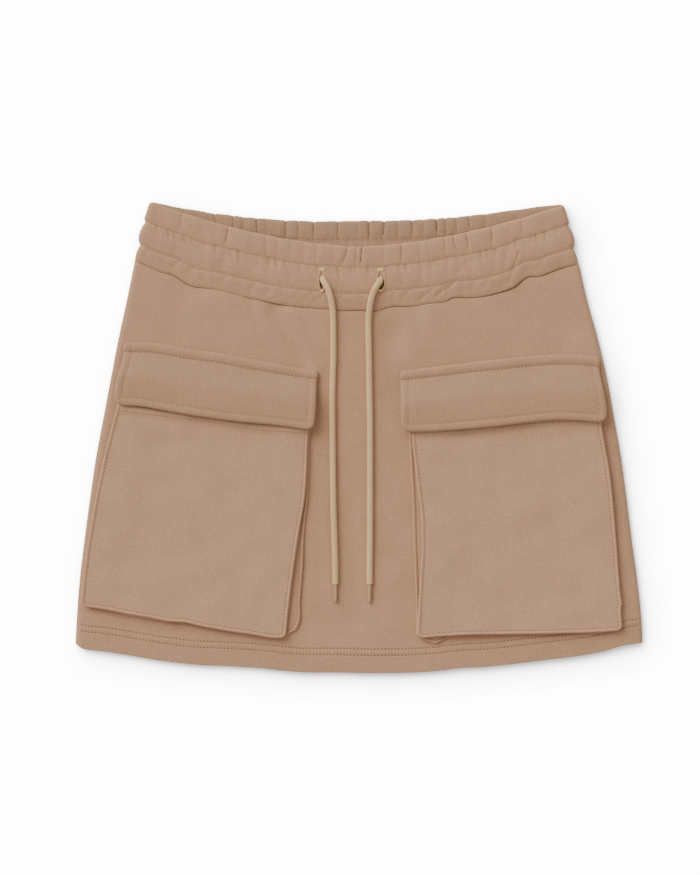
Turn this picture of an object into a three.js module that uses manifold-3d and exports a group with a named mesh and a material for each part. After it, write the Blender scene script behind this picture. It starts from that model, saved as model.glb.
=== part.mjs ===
// A pull-on cargo skirt in heavy sweat cloth, laid flat with its front up and its waist towards +Y.
// Millimetres. The origin is under the middle of the skirt, on the surface that it lies on.
// Left and right are as seen from above, looking at the front.

import * as THREE from 'three';
import { mergeVertices } from 'three/addons/utils/BufferGeometryUtils.js';
import Module from 'manifold-3d';

// Driving sizes

const CLOTH = 1.8; // one layer of the heavy cloth
const GUSSET_CLOTH = 1.4; // the gusset is pressed a little thinner
const FLAP_CLOTH = 3.2; // two layers, turned and topstitched
const SEAM_GAP = 0.3; // between pieces that are sewn together
const FRONT_TOP = 6.6; // height of the front panel's outer face
const BACK_HEM = 3.1; // doubled hem of the back panel
const FRONT_HEM = 3.2; // doubled hem of the front panel
const SIDE_LIP = 3.1; // height of the side seam
const SIDE_ROLL = 5; // width of the rolled edge along each side
const HEM_WIDTH = 482.8;
const HEM_DROP = 200; // the hem's smooth line at its lowest, below the middle of the skirt
const HEM_RISE = 25; // the hem's ends above its lowest point
const SEAM_WIDTH_LEFT = 190.8; // middle to side, along the waist seam
const SEAM_WIDTH_RIGHT = 186.6;
const SEAM_MIDDLE = 108.5;
const SEAM_RISE = 42.5;
const BAND_LEFT = { x: -178.4, y: 201 }; // top corners of the waistband, before they are rounded
const BAND_RIGHT = { x: 174.3, y: 199.5 };
const BAND_HALF = 178.4; // middle to corner, for the curves of the waistband's edges
const BAND_CORNER = 1.6; // how far the rounding drops a corner, and how far it reaches

// The waist's edges: their height at the middle, the power of their curves, and how deep the
// gathers notch them. The front of the waist dips more than the back.
const FRONT_EDGE = { middle: 162.5, power: 1.7, notch: 0.3 };
const BACK_EDGE = { middle: 183.7, power: 2.2, notch: 0.6 };

const BACK_SEAM_MIDDLE = 133;
const CORD_WIDTH = 5;
const TIP_WIDTH = 3;
const TIP_LENGTH = 15.5;
const GUSSET_FOLD = 14; // how far the gusset folds in under the pocket face
const FLAP_SEAT = 0.3; // between the front panel and what is sewn on it
const FACE_STAND = 3.7; // underside of the pocket face above the front panel, over the gusset
const FACE_SAG = 0.7; // how much the middle of the pocket face sinks
const MOUTH_HEM_CLOTH = 3;
const EDGE_RIDGE = 0.7; // edge stitching lifts the face's rim
const CORNER_PULL = 2; // how far the pocket's rounded corners draw in

// Sides of the skirt, from the hem up to the waist seam
const SIDE_ROWS = [
  { y: -175, left: -241.4, right: 241.4 },
  { y: -154, left: -240.4, right: 240.3 },
  { y: -120, left: -237.8, right: 236.7 },
  { y: -86, left: -233.7, right: 232.0 },
  { y: -52, left: -229.2, right: 227.8 },
  { y: -18, left: -224.2, right: 223.2 },
  { y: 16, left: -217.9, right: 217.4 },
  { y: 50, left: -211.5, right: 211.3 },
  { y: 84, left: -204.9, right: 203.4 },
  { y: 118, left: -197.6, right: 194.0 },
  { y: 151, left: -190.8, right: 186.6 },
];

// How far the hem, the waist seam and the waist's back edge stray upwards from their smooth lines
const HEM_WANDER = [
  { x: -241.4, shift: -0.6 },
  { x: -235, shift: -3.4 },
  { x: -220, shift: -2.4 },
  { x: -200, shift: -1.7 },
  { x: -165, shift: -2.0 },
  { x: -135, shift: -1.4 },
  { x: -115, shift: 0 },
  { x: -84, shift: 0.8 },
  { x: -65, shift: 0 },
  { x: -48, shift: -0.6 },
  { x: -20, shift: 0 },
  { x: 20, shift: -0.6 },
  { x: 60, shift: -0.7 },
  { x: 87, shift: 0.7 },
  { x: 105, shift: 0 },
  { x: 155, shift: 0 },
  { x: 190, shift: -0.8 },
  { x: 208, shift: -0.4 },
  { x: 226, shift: 1.5 },
  { x: 241.4, shift: 0.4 },
];
const SEAM_WANDER = [
  { x: -190.8, shift: 0 },
  { x: -170, shift: -0.8 },
  { x: -158, shift: 0.3 },
  { x: -143, shift: -3.2 },
  { x: -122, shift: 0 },
  { x: -90, shift: 0.1 },
  { x: -60, shift: -0.5 },
  { x: 0, shift: -0.3 },
  { x: 14, shift: -0.8 },
  { x: 29, shift: 2.0 },
  { x: 60, shift: 1.2 },
  { x: 81, shift: 2.0 },
  { x: 106, shift: -1.4 },
  { x: 131, shift: -0.9 },
  { x: 143, shift: 3.4 },
  { x: 156, shift: 1.2 },
  { x: 172, shift: 1.0 },
  { x: 186.6, shift: -1.6 },
];
const BACK_EDGE_WANDER = [
  { x: -178.4, shift: 0 },
  { x: -40, shift: 0 },
  { x: 0, shift: 1.1 },
  { x: 40, shift: 0.9 },
  { x: 100, shift: 1.5 },
  { x: 140, shift: 1.9 },
  { x: 160, shift: 1.2 },
  { x: 178.4, shift: 0 },
];

// The waistband down from its top edge (0) to the waist seam (1): heights of both halves,
// and how far each side bulges past the straight line between its corners.
// The stitch rows of the casing and the channel are at 0.34 and 0.735.
const BAND_ROWS = [
  { down: 0, top: 7.2, under: 5.6, lip: 4.3, backTop: 2.9, floor: 1.0, bulge: 0 },
  { down: 0.06, top: 8.7, under: 4.4, lip: 4.3, backTop: 4.0, floor: 0, bulge: 0.4 },
  { down: 0.17, top: 9.0, under: 4.4, lip: 4.3, backTop: 3.8, floor: 0, bulge: 0.8 },
  { down: 0.28, top: 8.7, under: 4.4, lip: 4.3, backTop: 3.2, floor: 0, bulge: 0.9 },
  { down: 0.34, top: 8.0, under: 4.5, lip: 4.3, backTop: 2.7, floor: 0, bulge: -0.6 },
  { down: 0.4, top: 8.6, under: 4.4, lip: 4.3, backTop: 3.0, floor: 0, bulge: 0.8 },
  { down: 0.54, top: 9.1, under: 4.4, lip: 4.3, backTop: 3.3, floor: 0, bulge: 2.0 },
  { down: 0.67, top: 8.7, under: 4.4, lip: 4.3, backTop: 3.2, floor: 0, bulge: 0.9 },
  { down: 0.735, top: 7.9, under: 4.5, lip: 4.2, backTop: 2.7, floor: 0, bulge: -1.2 },
  { down: 0.8, top: 8.4, under: 4.5, lip: 4.0, backTop: 3.0, floor: 0, bulge: -0.2 },
  { down: 0.9, top: 7.6, under: 4.6, lip: 3.6, backTop: 2.7, floor: 0, bulge: 0.4 },
  { down: 1, top: 6.4, under: 4.7, lip: SIDE_LIP, backTop: CLOTH, floor: 0, bulge: 0 },
];

// Gathers of the elastic: each is a narrow trough between two puffs, depth at the casing and channel
const FRONT_GATHERS = [
  { x: -171, half: 6, casing: 0.4, channel: 0.2 },
  { x: -150, half: 7, casing: 1.0, channel: 0.3 },
  { x: -133, half: 6, casing: 0.4, channel: 0.5 },
  { x: -121, half: 6, casing: 0.4, channel: 0.2 },
  { x: -111, half: 7, casing: 1.3, channel: 0.4 },
  { x: -91, half: 6, casing: 0.5, channel: 0.3 },
  { x: -79, half: 6, casing: 0.9, channel: 0.5 },
  { x: -69, half: 5, casing: 0.4, channel: 0.2 },
  { x: -58, half: 6, casing: 0.6, channel: 0.5 },
  { x: -47, half: 5, casing: 0.5, channel: 0.2 },
  { x: -36, half: 6, casing: 0.8, channel: 0.3 },
  { x: -21, half: 5, casing: 0.5, channel: 0.2 },
  { x: -9.5, half: 5, casing: 1.3, channel: 0.2 },
  { x: 2.6, half: 4, casing: 1.6, channel: 0.2 },
  { x: 21, half: 5, casing: 0.4, channel: 0.2 },
  { x: 36, half: 5, casing: 1.1, channel: 0.5 },
  { x: 51, half: 5, casing: 0.9, channel: 0.6 },
  { x: 59, half: 4, casing: 0.4, channel: 0.3 },
  { x: 72.6, half: 5, casing: 0.9, channel: 0.6 },
  { x: 80, half: 5, casing: 1.1, channel: 0.2 },
  { x: 91.5, half: 6, casing: 1.2, channel: 0.4 },
  { x: 112.6, half: 6, casing: 1.3, channel: 0.5 },
  { x: 128, half: 6, casing: 0.3, channel: 0.7 },
  { x: 137.7, half: 7, casing: 0.9, channel: 0.4 },
  { x: 157, half: 6, casing: 0.4, channel: 0.2 },
];
const BACK_GATHERS = [
  { x: -148, half: 6, casing: 0.4, channel: 0.3 },
  { x: -123, half: 6, casing: 1.1, channel: 0.5 },
  { x: -107, half: 5, casing: 1.0, channel: 0.4 },
  { x: -98, half: 5, casing: 0.8, channel: 0.4 },
  { x: -87, half: 6, casing: 1.3, channel: 0.5 },
  { x: -79, half: 5, casing: 0.6, channel: 0.3 },
  { x: -62, half: 5, casing: 1.4, channel: 0.4 },
  { x: -51.5, half: 4, casing: 0.9, channel: 0.4 },
  { x: -38.5, half: 5, casing: 1.2, channel: 0.6 },
  { x: -18, half: 5, casing: 1.1, channel: 0.5 },
  { x: -1, half: 5, casing: 0.7, channel: 0.4 },
  { x: 8.3, half: 4, casing: 1.6, channel: 0.7 },
  { x: 21.5, half: 5, casing: 1.4, channel: 0.7 },
  { x: 33, half: 4, casing: 0.8, channel: 0.3 },
  { x: 45.5, half: 4, casing: 1.1, channel: 0.5 },
  { x: 55, half: 4, casing: 0.7, channel: 0.4 },
  { x: 66, half: 5, casing: 1.5, channel: 0.5 },
  { x: 73.5, half: 4, casing: 1.0, channel: 0.2 },
  { x: 83, half: 5, casing: 0.9, channel: 0.3 },
  { x: 94, half: 5, casing: 1.0, channel: 0.4 },
  { x: 108, half: 6, casing: 0.6, channel: 0.5 },
  { x: 136, half: 6, casing: 0.5, channel: 0.4 },
];

// Soft folds of the front panel, from the waist seam down between the pockets
const FOLDS = [
  { fromX: -96, fromY: 112, toX: -44, toY: 72, width: 14, height: -1.4 },
  { fromX: -122, fromY: 116, toX: -96, toY: 92, width: 14, height: 0.6 },
  { fromX: 26, fromY: 84, toX: 30, toY: 40, width: 11, height: -1.1 },
  { fromX: 62, fromY: 104, toX: 40, toY: 66, width: 13, height: 0.6 },
  { fromX: 136, fromY: 118, toX: 176, toY: 88, width: 16, height: -1.0 },
  { fromX: -8, fromY: -60, toX: -5, toY: -150, width: 10, height: -0.9 },
  { fromX: 28, fromY: -120, toX: 34, toY: -160, width: 10, height: 0.5 },
];

// Each pocket: the borders of its face and flap, from above, how far down the face its mouth's hem
// is stitched, and where the gusset's base seam lies from the face's edge, along its left side
// (0 to 1), its bottom (to 2) and its right side (to 3)
const POCKETS = [
  {
    side: 'left',
    face: {
      top: [[-201.5, 42], [-186, 40], [-126, 32.9], [-90, 26.9], [-51, 24.2], [-42.5, 24]],
      left: [[-201.5, 42], [-205.5, 25], [-218, -25], [-228, -77], [-233, -112], [-236.2, -143]],
      right: [[-42.5, 24], [-43, 4], [-45.5, -48], [-51.5, -85], [-58.4, -135], [-62, -169.5]],
      bottom: [
        [-236.2, -143], [-219.9, -145.2], [-205.4, -147.8], [-190.9, -150.6], [-176.4, -152.8],
        [-161.9, -155.4], [-147.5, -154.8], [-133, -158], [-118.5, -160.6], [-104, -163.4],
        [-89.5, -165.4], [-76, -168.2], [-62, -169.5],
      ],
    },
    mouth: 19.6,
    flap: {
      top: [
        [-198.5, 81], [-171.3, 80.2], [-144.1, 75.2], [-116.9, 71.5], [-89.7, 66.2],
        [-62.5, 61.2], [-35.3, 57.1],
      ],
      left: [[-198.5, 81], [-199.8, 68.5], [-203.6, 54], [-206.4, 41], [-206.5, 27]],
      right: [[-35.3, 57.1], [-35.9, 41], [-36.6, 23], [-38.2, 5.4]],
      bottom: [
        [-206.5, 27], [-185.7, 26.2], [-164.9, 22.7], [-144.1, 19], [-123.2, 16],
        [-102.4, 13.2], [-81.6, 11.4], [-60.8, 9], [-38.2, 5.4],
      ],
    },
    baseShift: [
      { along: 0, dx: 1, dy: 0 },
      { along: 0.5, dx: 6, dy: 0 },
      { along: 1, dx: 9, dy: 2 },
      { along: 1.08, dx: 8, dy: -0.5 },
      { along: 1.16, dx: 8, dy: -3.4 },
      { along: 1.26, dx: 8, dy: -3.2 },
      { along: 1.36, dx: 8, dy: -1.8 },
      { along: 1.5, dx: 8, dy: 0.5 },
      { along: 1.85, dx: 6, dy: 1.5 },
      { along: 2, dx: 6, dy: 2 },
      { along: 2.077, dx: 10.7, dy: 0.4 },
      { along: 2.19, dx: 7.4, dy: 0 },
      { along: 2.3, dx: 7.8, dy: 0 },
      { along: 2.43, dx: 5.2, dy: 0 },
      { along: 2.62, dx: 2.4, dy: 0 },
      { along: 3, dx: 1.2, dy: 0 },
    ],
  },
  {
    side: 'right',
    face: {
      top: [[45, 20.5], [65, 22.1], [104, 25.6], [150, 30.6], [183, 31.9], [203, 32]],
      left: [[45, 20.5], [44.5, 3], [49.6, -43], [52.4, -68], [53, -92], [51, -127], [48.7, -169.4]],
      right: [
        [203, 32], [205.3, 12], [212.6, -31], [217.6, -81], [221.8, -131], [222.2, -142],
        [223.3, -151], [223.8, -163],
      ],
      bottom: [
        [48.7, -169.4], [69, -167.7], [92, -166.3], [130, -165.8], [188, -164.8], [223.8, -163],
      ],
    },
    mouth: 18,
    flap: {
      top: [[35.6, 56.5], [78.1, 61.9], [119.7, 66.7], [161.4, 70.3], [185, 70.6], [203, 68.7]],
      left: [[35.6, 56.5], [35.2, 40], [35.3, 23], [36.2, 4.4]],
      right: [[203, 68.7], [204.2, 55], [206.9, 40], [209.2, 26], [209.8, 12.4]],
      bottom: [
        [36.2, 4.4], [59.9, 5], [81.4, 6.3], [102.8, 8], [124.3, 10.2], [145.7, 12.9],
        [167.1, 14.7], [188.6, 13.9], [209.8, 12.4],
      ],
    },
    baseShift: [
      { along: 0, dx: -1, dy: 0 },
      { along: 0.29, dx: -4.7, dy: 0 },
      { along: 0.49, dx: -7.1, dy: 0 },
      { along: 0.6, dx: -6.7, dy: 0 },
      { along: 0.8, dx: -2.8, dy: 0 },
      { along: 1, dx: 0, dy: -1 },
      { along: 1.085, dx: 2, dy: -6.8 },
      { along: 1.15, dx: 1, dy: 0 },
      { along: 1.5, dx: 0, dy: 1.5 },
      { along: 2, dx: -2, dy: 2 },
      { along: 2.5, dx: -3, dy: 0 },
      { along: 3, dx: -1, dy: 0 },
    ],
  },
];

// The pocket flap down from its sewn edge, in millimetres: height of its top above the front panel.
// It rolls over the stitch row at 7.9 and then lies over the pocket's mouth.
const FLAP_ROWS = [
  { down: 0, above: 2.8 },
  { down: 1.2, above: 4.1 },
  { down: 3.8, above: 4.9 },
  { down: 6.2, above: 4.7 },
  { down: 7.9, above: 4.3 },
  { down: 9.7, above: 4.6 },
  { down: 12.7, above: 5.4 },
  { down: 19.7, above: 7.6 },
  { down: 27.7, above: 9.8 },
  { down: 36.7, above: 10.5 },
  { down: 48.7, above: 10.4 },
  { down: 52.7, above: 9.8 },
];

// Routes of the drawcord's two free ends, from inside the channel to where the tip begins
const CORDS = [
  {
    side: 'left',
    route: [
      { x: -32.2, y: 139.5, z: 8.3 },
      { x: -31.4, y: 136.2, z: 9.3 },
      { x: -29.5, y: 131.8, z: 10.9 },
      { x: -27.0, y: 127.4, z: 12.1 },
      { x: -25.0, y: 122.0, z: 12.1 },
      { x: -23.4, y: 115.6, z: 11.3 },
      { x: -22.3, y: 108.0, z: 10.2 },
      { x: -21.9, y: 99.0, z: 9.5 },
      { x: -21.8, y: 90.1, z: 9.4 },
      { x: -21.8, y: 67.2, z: 9.4 },
      { x: -22.6, y: 39.1, z: 9.4 },
      { x: -22.6, y: 14.5, z: 9.4 },
      { x: -22.2, y: -20.0, z: 9.4 },
      { x: -21.8, y: -53.6, z: 9.4 },
      { x: -20.9, y: -84.2, z: 9.3 },
      { x: -20.2, y: -106.0, z: 9.2 },
      { x: -20.0, y: -124.1, z: 9.0 },
    ],
  },
  {
    side: 'right',
    route: [
      { x: 18.6, y: 138.5, z: 8.3 },
      { x: 18.3, y: 135.2, z: 9.3 },
      { x: 17.1, y: 131.4, z: 10.9 },
      { x: 14.2, y: 127.4, z: 12.1 },
      { x: 11.6, y: 121.8, z: 12.1 },
      { x: 9.6, y: 114.4, z: 11.3 },
      { x: 8.5, y: 106.0, z: 10.2 },
      { x: 8.0, y: 98.0, z: 9.5 },
      { x: 8.0, y: 90.1, z: 9.4 },
      { x: 8.5, y: 67.2, z: 9.4 },
      { x: 8.9, y: 39.1, z: 9.4 },
      { x: 9.4, y: 14.5, z: 9.4 },
      { x: 9.4, y: -20.0, z: 9.4 },
      { x: 9.4, y: -53.6, z: 9.4 },
      { x: 9.3, y: -84.2, z: 9.3 },
      { x: 9.1, y: -106.0, z: 9.2 },
      { x: 9.0, y: -124.1, z: 9.0 },
    ],
  },
];

const CLOTH_LOOK = new THREE.MeshStandardMaterial({ color: 0xb2947c, roughness: 0.95, metalness: 0 });
const CORD_LOOK = new THREE.MeshStandardMaterial({ color: 0xc4ae95, roughness: 0.9, metalness: 0 });
const TIP_LOOK = new THREE.MeshStandardMaterial({ color: 0xb0977e, roughness: 0.6, metalness: 0 });

const mix = THREE.MathUtils.lerp;
const clamp = THREE.MathUtils.clamp;

// Table columns and border curves

// One column of a table as a smooth function of another column that rises row by row
function smoothColumn(rows, along, key) {
  const places = rows.map((row) => row[along]);
  const values = rows.map((row) => row[key]);
  const last = rows.length - 1;
  const slopes = values.map((value, i) => {
    const before = Math.max(i - 1, 0);
    const after = Math.min(i + 1, last);
    return (values[after] - values[before]) / (places[after] - places[before]);
  });
  return (at) => {
    let i = 0;
    while (i < last - 1 && at > places[i + 1]) i += 1;
    const span = places[i + 1] - places[i];
    const t = clamp((at - places[i]) / span, 0, 1);
    const rise = t * t * (3 - 2 * t);
    const leave = t * (1 - t) * (1 - t) * span * slopes[i];
    const arrive = t * t * (t - 1) * span * slopes[i + 1];
    return mix(values[i], values[i + 1], rise) + leave + arrive;
  };
}

// One column of a table as straight lines from row to row
function straightColumn(rows, along, key) {
  return (at) => {
    let i = 0;
    while (i < rows.length - 2 && at > rows[i + 1][along]) i += 1;
    const t = (at - rows[i][along]) / (rows[i + 1][along] - rows[i][along]);
    return mix(rows[i][key], rows[i + 1][key], clamp(t, 0, 1));
  };
}

// The border curves of a sewn-on piece: each is smooth through a few points seen from above,
// and gives the place at a share of its own length
function borders(lists) {
  const curves = Object.entries(lists).map(([edge, points]) => {
    let run = 0;
    const rows = points.map(([x, y], i) => {
      if (i > 0) run += Math.hypot(x - points[i - 1][0], y - points[i - 1][1]);
      return { run, x, y };
    });
    const toX = smoothColumn(rows, 'run', 'x');
    const toY = smoothColumn(rows, 'run', 'y');
    return [edge, (share) => new THREE.Vector2(toX(share * run), toY(share * run))];
  });
  return Object.fromEntries(curves);
}

// Place on the patch between four border curves, f across from the left and v down from the top:
// the blend of top and bottom, plus the blend of left and right, less the blend of the corners
function patchPoint({ top, bottom, left, right }, f, v) {
  const across = top(f).multiplyScalar(1 - v).addScaledVector(bottom(f), v);
  const down = left(v).multiplyScalar(1 - f).addScaledVector(right(v), f);
  const corners = top(0).multiplyScalar((1 - f) * (1 - v));
  corners.addScaledVector(top(1), f * (1 - v));
  corners.addScaledVector(bottom(0), (1 - f) * v);
  corners.addScaledVector(bottom(1), f * v);
  return across.add(down).sub(corners);
}

const sideLeft = smoothColumn(SIDE_ROWS, 'y', 'left');
const sideRight = smoothColumn(SIDE_ROWS, 'y', 'right');
const hemShift = smoothColumn(HEM_WANDER, 'x', 'shift');
const seamShift = straightColumn(SEAM_WANDER, 'x', 'shift');
const backEdgeShift = smoothColumn(BACK_EDGE_WANDER, 'x', 'shift');

function hemLine(x) {
  return HEM_RISE * (2 * x / HEM_WIDTH) ** 2 - HEM_DROP + hemShift(x);
}

function frontSeamLine(x) {
  return SEAM_MIDDLE + SEAM_RISE * (x / SEAM_WIDTH_LEFT) ** 2 + seamShift(x);
}

// The back seam meets the front one at both sides
function backSeamLine(x) {
  const share = (x + SEAM_WIDTH_LEFT) / (SEAM_WIDTH_LEFT + SEAM_WIDTH_RIGHT);
  const ends = mix(frontSeamLine(-SEAM_WIDTH_LEFT), frontSeamLine(SEAM_WIDTH_RIGHT), share);
  return mix(BACK_SEAM_MIDDLE, ends, (2 * share - 1) ** 2);
}

// Meshes

// A closed body from its points and faces, turned outwards
function body(points, faces) {
  const geometry = new THREE.BufferGeometry().setFromPoints(points);
  let volume = 0;
  for (let i = 0; i < faces.length; i += 3) {
    const [a, b, c] = [points[faces[i]], points[faces[i + 1]], points[faces[i + 2]]];
    volume += a.dot(b.clone().cross(c));
  }
  geometry.setIndex(volume > 0 ? faces : faces.toReversed());
  return geometry;
}

// A cloth wall between two grids of points, closed along its four edges
function wall(outer, inner) {
  const rows = outer.length;
  const columns = outer[0].length;
  const out = (r, c) => r * columns + c;
  const inn = (r, c) => (rows + r) * columns + c;
  const faces = [];
  const quad = (a, b, c, d) => faces.push(a, b, c, a, c, d);
  for (let r = 0; r < rows - 1; r += 1) {
    for (let c = 0; c < columns - 1; c += 1) {
      quad(out(r, c), out(r + 1, c), out(r + 1, c + 1), out(r, c + 1));
      quad(inn(r, c), inn(r, c + 1), inn(r + 1, c + 1), inn(r + 1, c));
    }
    quad(out(r, 0), inn(r, 0), inn(r + 1, 0), out(r + 1, 0));
    quad(out(r, columns - 1), out(r + 1, columns - 1), inn(r + 1, columns - 1), inn(r, columns - 1));
  }
  for (let c = 0; c < columns - 1; c += 1) {
    quad(out(0, c), out(0, c + 1), inn(0, c + 1), inn(0, c));
    quad(out(rows - 1, c), inn(rows - 1, c), inn(rows - 1, c + 1), out(rows - 1, c + 1));
  }
  return body([...outer.flat(), ...inner.flat()], faces);
}

// A strip from closed sections that stand one after another, closed at both ends
function strip(sections, endFaces) {
  const count = sections[0].length;
  const faces = [];
  for (let s = 0; s < sections.length - 1; s += 1) {
    for (let i = 0; i < count; i += 1) {
      const a = s * count + i;
      const b = s * count + (i + 1) % count;
      faces.push(a, b, b + count, a, b + count, a + count);
    }
  }
  const end = (sections.length - 1) * count;
  for (const [a, b, c] of endFaces) {
    faces.push(a, c, b);
    faces.push(end + a, end + b, end + c);
  }
  return body(sections.flat(), faces);
}

const wasm = await Module();
wasm.setup();

function toSolid(geometry) {
  const plain = geometry.clone();
  plain.deleteAttribute('normal');
  plain.deleteAttribute('uv');
  const merged = mergeVertices(plain, 1e-4);
  const vertProperties = Float32Array.from(merged.attributes.position.array);
  const triVerts = Uint32Array.from(merged.index.array);
  return new wasm.Manifold(new wasm.Mesh({ numProp: 3, vertProperties, triVerts }));
}

function cutAway(geometry, tools) {
  let solid = toSolid(geometry);
  for (const tool of tools) solid = solid.subtract(toSolid(tool));
  const { vertProperties, triVerts } = solid.getMesh();
  const cut = new THREE.BufferGeometry();
  cut.setAttribute('position', new THREE.BufferAttribute(vertProperties, 3));
  cut.setIndex(new THREE.BufferAttribute(triVerts, 1));
  return cut;
}

const skirt = new THREE.Group();

function addPiece(name, geometry, look) {
  const mesh = new THREE.Mesh(geometry, look);
  mesh.name = name;
  skirt.add(mesh);
}

// Cloth that rolls over at both sides

// Columns across a tube's half: over each side's roll, lift 0 at the lip and 1 on the flat,
// with the inner face a wall nearer the middle, and places of the flat part in between
function rolledColumns(width, thickness, places) {
  const roll = SIDE_ROLL / width;
  const innerRoll = (SIDE_ROLL - Math.min(thickness, SIDE_ROLL - 1)) / width;
  const turns = [0, 35, 65, 90].map(THREE.MathUtils.degToRad);
  const left = turns.map((turn) => ({
    outer: roll * (1 - Math.cos(turn)),
    inner: roll - innerRoll * Math.cos(turn),
    lift: Math.sin(turn),
  }));
  const right = left.map(({ outer, inner, lift }) => ({ outer: 1 - outer, inner: 1 - inner, lift }));
  const flat = places.filter((f) => f > 1.5 * roll && f < 1 - 1.5 * roll);
  return [...left, ...flat.map((f) => ({ outer: f, inner: f, lift: 1 })), ...right.reverse()];
}

function evenPlaces(count) {
  return Array.from({ length: count - 1 }, (unused, i) => (i + 1) / count);
}

// Places along the front waist seam: its knots, where both pieces sewn there have a column, and
// even ones between them, at most a step apart
function seamPlaces(step) {
  const xs = [];
  SEAM_WANDER.forEach(({ x }, i) => {
    const before = i > 0 ? SEAM_WANDER[i - 1].x : x;
    const count = Math.ceil((x - before) / step);
    for (let n = 1; n <= count; n += 1) xs.push(mix(before, x, n / count));
  });
  return xs.map((x) => (x + SEAM_WIDTH_LEFT) / (SEAM_WIDTH_LEFT + SEAM_WIDTH_RIGHT));
}

function rolledWall(patch, columns, rows, heights) {
  const grid = (face) => rows.map((v) => columns.map((column) => {
    const place = patchPoint(patch, column[face], v);
    const { lip, [face]: flat } = heights(place.x, place.y, v);
    return new THREE.Vector3(place.x, place.y, mix(lip, flat, column.lift));
  }));
  return wall(grid('outer'), grid('inner'));
}

// Front and back panels

function panelPatch(seamLine) {
  const seamLeft = -SEAM_WIDTH_LEFT;
  const seamRight = SEAM_WIDTH_RIGHT;
  const sewn = (x) => seamLine(x) - SEAM_GAP / 2;
  return {
    top: (f) => {
      const x = mix(seamLeft, seamRight, f);
      return new THREE.Vector2(x, sewn(x));
    },
    bottom: (f) => {
      const x = HEM_WIDTH * (f - 0.5);
      return new THREE.Vector2(x, hemLine(x));
    },
    left: (v) => {
      const y = mix(sewn(seamLeft), hemLine(-HEM_WIDTH / 2), v);
      return new THREE.Vector2(sideLeft(y), y);
    },
    right: (v) => {
      const y = mix(sewn(seamRight), hemLine(HEM_WIDTH / 2), v);
      return new THREE.Vector2(sideRight(y), y);
    },
  };
}

const HEM_START = 0.93; // share of the panel's length above the doubled hem
const PANEL_ROWS = [
  0, 0.015, 0.05, 0.11, 0.17, 0.24, 0.32, 0.4, 0.49, 0.58, 0.68, 0.78, 0.87,
  HEM_START, HEM_START + 0.006, 1,
];
const SEAM_GROOVE = 0.5; // the panel sinks a little to the waist seam

// Height that a soft fold adds: its height, less by the bell curve of the distance from its line
function foldHeight(x, y) {
  let height = 0;
  for (const fold of FOLDS) {
    const alongX = fold.toX - fold.fromX;
    const alongY = fold.toY - fold.fromY;
    const share = ((x - fold.fromX) * alongX + (y - fold.fromY) * alongY) / (alongX ** 2 + alongY ** 2);
    const t = clamp(share, 0, 1);
    const distance = Math.hypot(x - fold.fromX - alongX * t, y - fold.fromY - alongY * t);
    height += fold.height * Math.exp(-((distance / fold.width) ** 2));
  }
  return height;
}

function frontTop(x, y) {
  const fromSeam = frontSeamLine(x) - y;
  const groove = SEAM_GROOVE * Math.exp(-((fromSeam / 4) ** 2));
  return FRONT_TOP - groove + foldHeight(x, y);
}

const panelWidth = HEM_WIDTH * 0.9;

addPiece('skirt_front', rolledWall(
  panelPatch(frontSeamLine),
  rolledColumns(panelWidth, CLOTH, seamPlaces(17)),
  PANEL_ROWS,
  (x, y, v) => {
    const outer = frontTop(x, y);
    const inner = v > HEM_START ? FRONT_TOP - FRONT_HEM : outer - CLOTH;
    return { outer, inner, lip: SIDE_LIP + SEAM_GAP };
  },
), CLOTH_LOOK);

addPiece('skirt_back', rolledWall(
  panelPatch(backSeamLine),
  rolledColumns(panelWidth, CLOTH, evenPlaces(12)),
  PANEL_ROWS.filter((v, i) => i % 2 === 0 || v >= HEM_START),
  (x, y, v) => ({ outer: 0, inner: v > HEM_START ? BACK_HEM : CLOTH, lip: SIDE_LIP }),
), CLOTH_LOOK);

// Waistband

const bandBulge = smoothColumn(BAND_ROWS, 'down', 'bulge');

// Share of the gathers' depth at a place down the band: full in the casing and the channel
function gatherShare(gather, v) {
  const casing = Math.exp(-(((v - 0.15) / 0.16) ** 2));
  const channel = Math.exp(-(((v - 0.53) / 0.15) ** 2));
  return gather.casing * casing + gather.channel * channel;
}

function gatherDepth(gathers, x, v) {
  let depth = 0;
  for (const gather of gathers) {
    const away = Math.abs(x - gather.x) / gather.half;
    if (away < 1) depth += gatherShare(gather, v) * (1 - away) ** 1.3;
  }
  return depth;
}

function bandPatch(edge, seamLine, gathers, shift = () => 0) {
  const edgeLine = (x) => {
    const end = mix(BAND_LEFT.y, BAND_RIGHT.y, (x + BAND_HALF) / (2 * BAND_HALF));
    const curve = mix(edge.middle, end, Math.abs(x / BAND_HALF) ** edge.power);
    const fromCorner = Math.min(x - BAND_LEFT.x, BAND_RIGHT.x - x);
    const corner = BAND_CORNER * Math.exp(-((fromCorner / BAND_CORNER) ** 2));
    return curve + shift(x) - corner - edge.notch * gatherDepth(gathers, x, 0.15);
  };
  const sewn = (x) => seamLine(x) + SEAM_GAP / 2;
  const side = (corner, seamX, outwards) => (v) => {
    const x = mix(corner.x, seamX, v) + outwards * bandBulge(v);
    return new THREE.Vector2(x, mix(edgeLine(corner.x), sewn(seamX), v));
  };
  return {
    top: (f) => {
      const x = mix(BAND_LEFT.x, BAND_RIGHT.x, f);
      return new THREE.Vector2(x, edgeLine(x));
    },
    bottom: (f) => {
      const x = mix(-SEAM_WIDTH_LEFT, SEAM_WIDTH_RIGHT, f);
      return new THREE.Vector2(x, sewn(x));
    },
    left: side(BAND_LEFT, -SEAM_WIDTH_LEFT, -1),
    right: side(BAND_RIGHT, SEAM_WIDTH_RIGHT, 1),
  };
}

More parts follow.
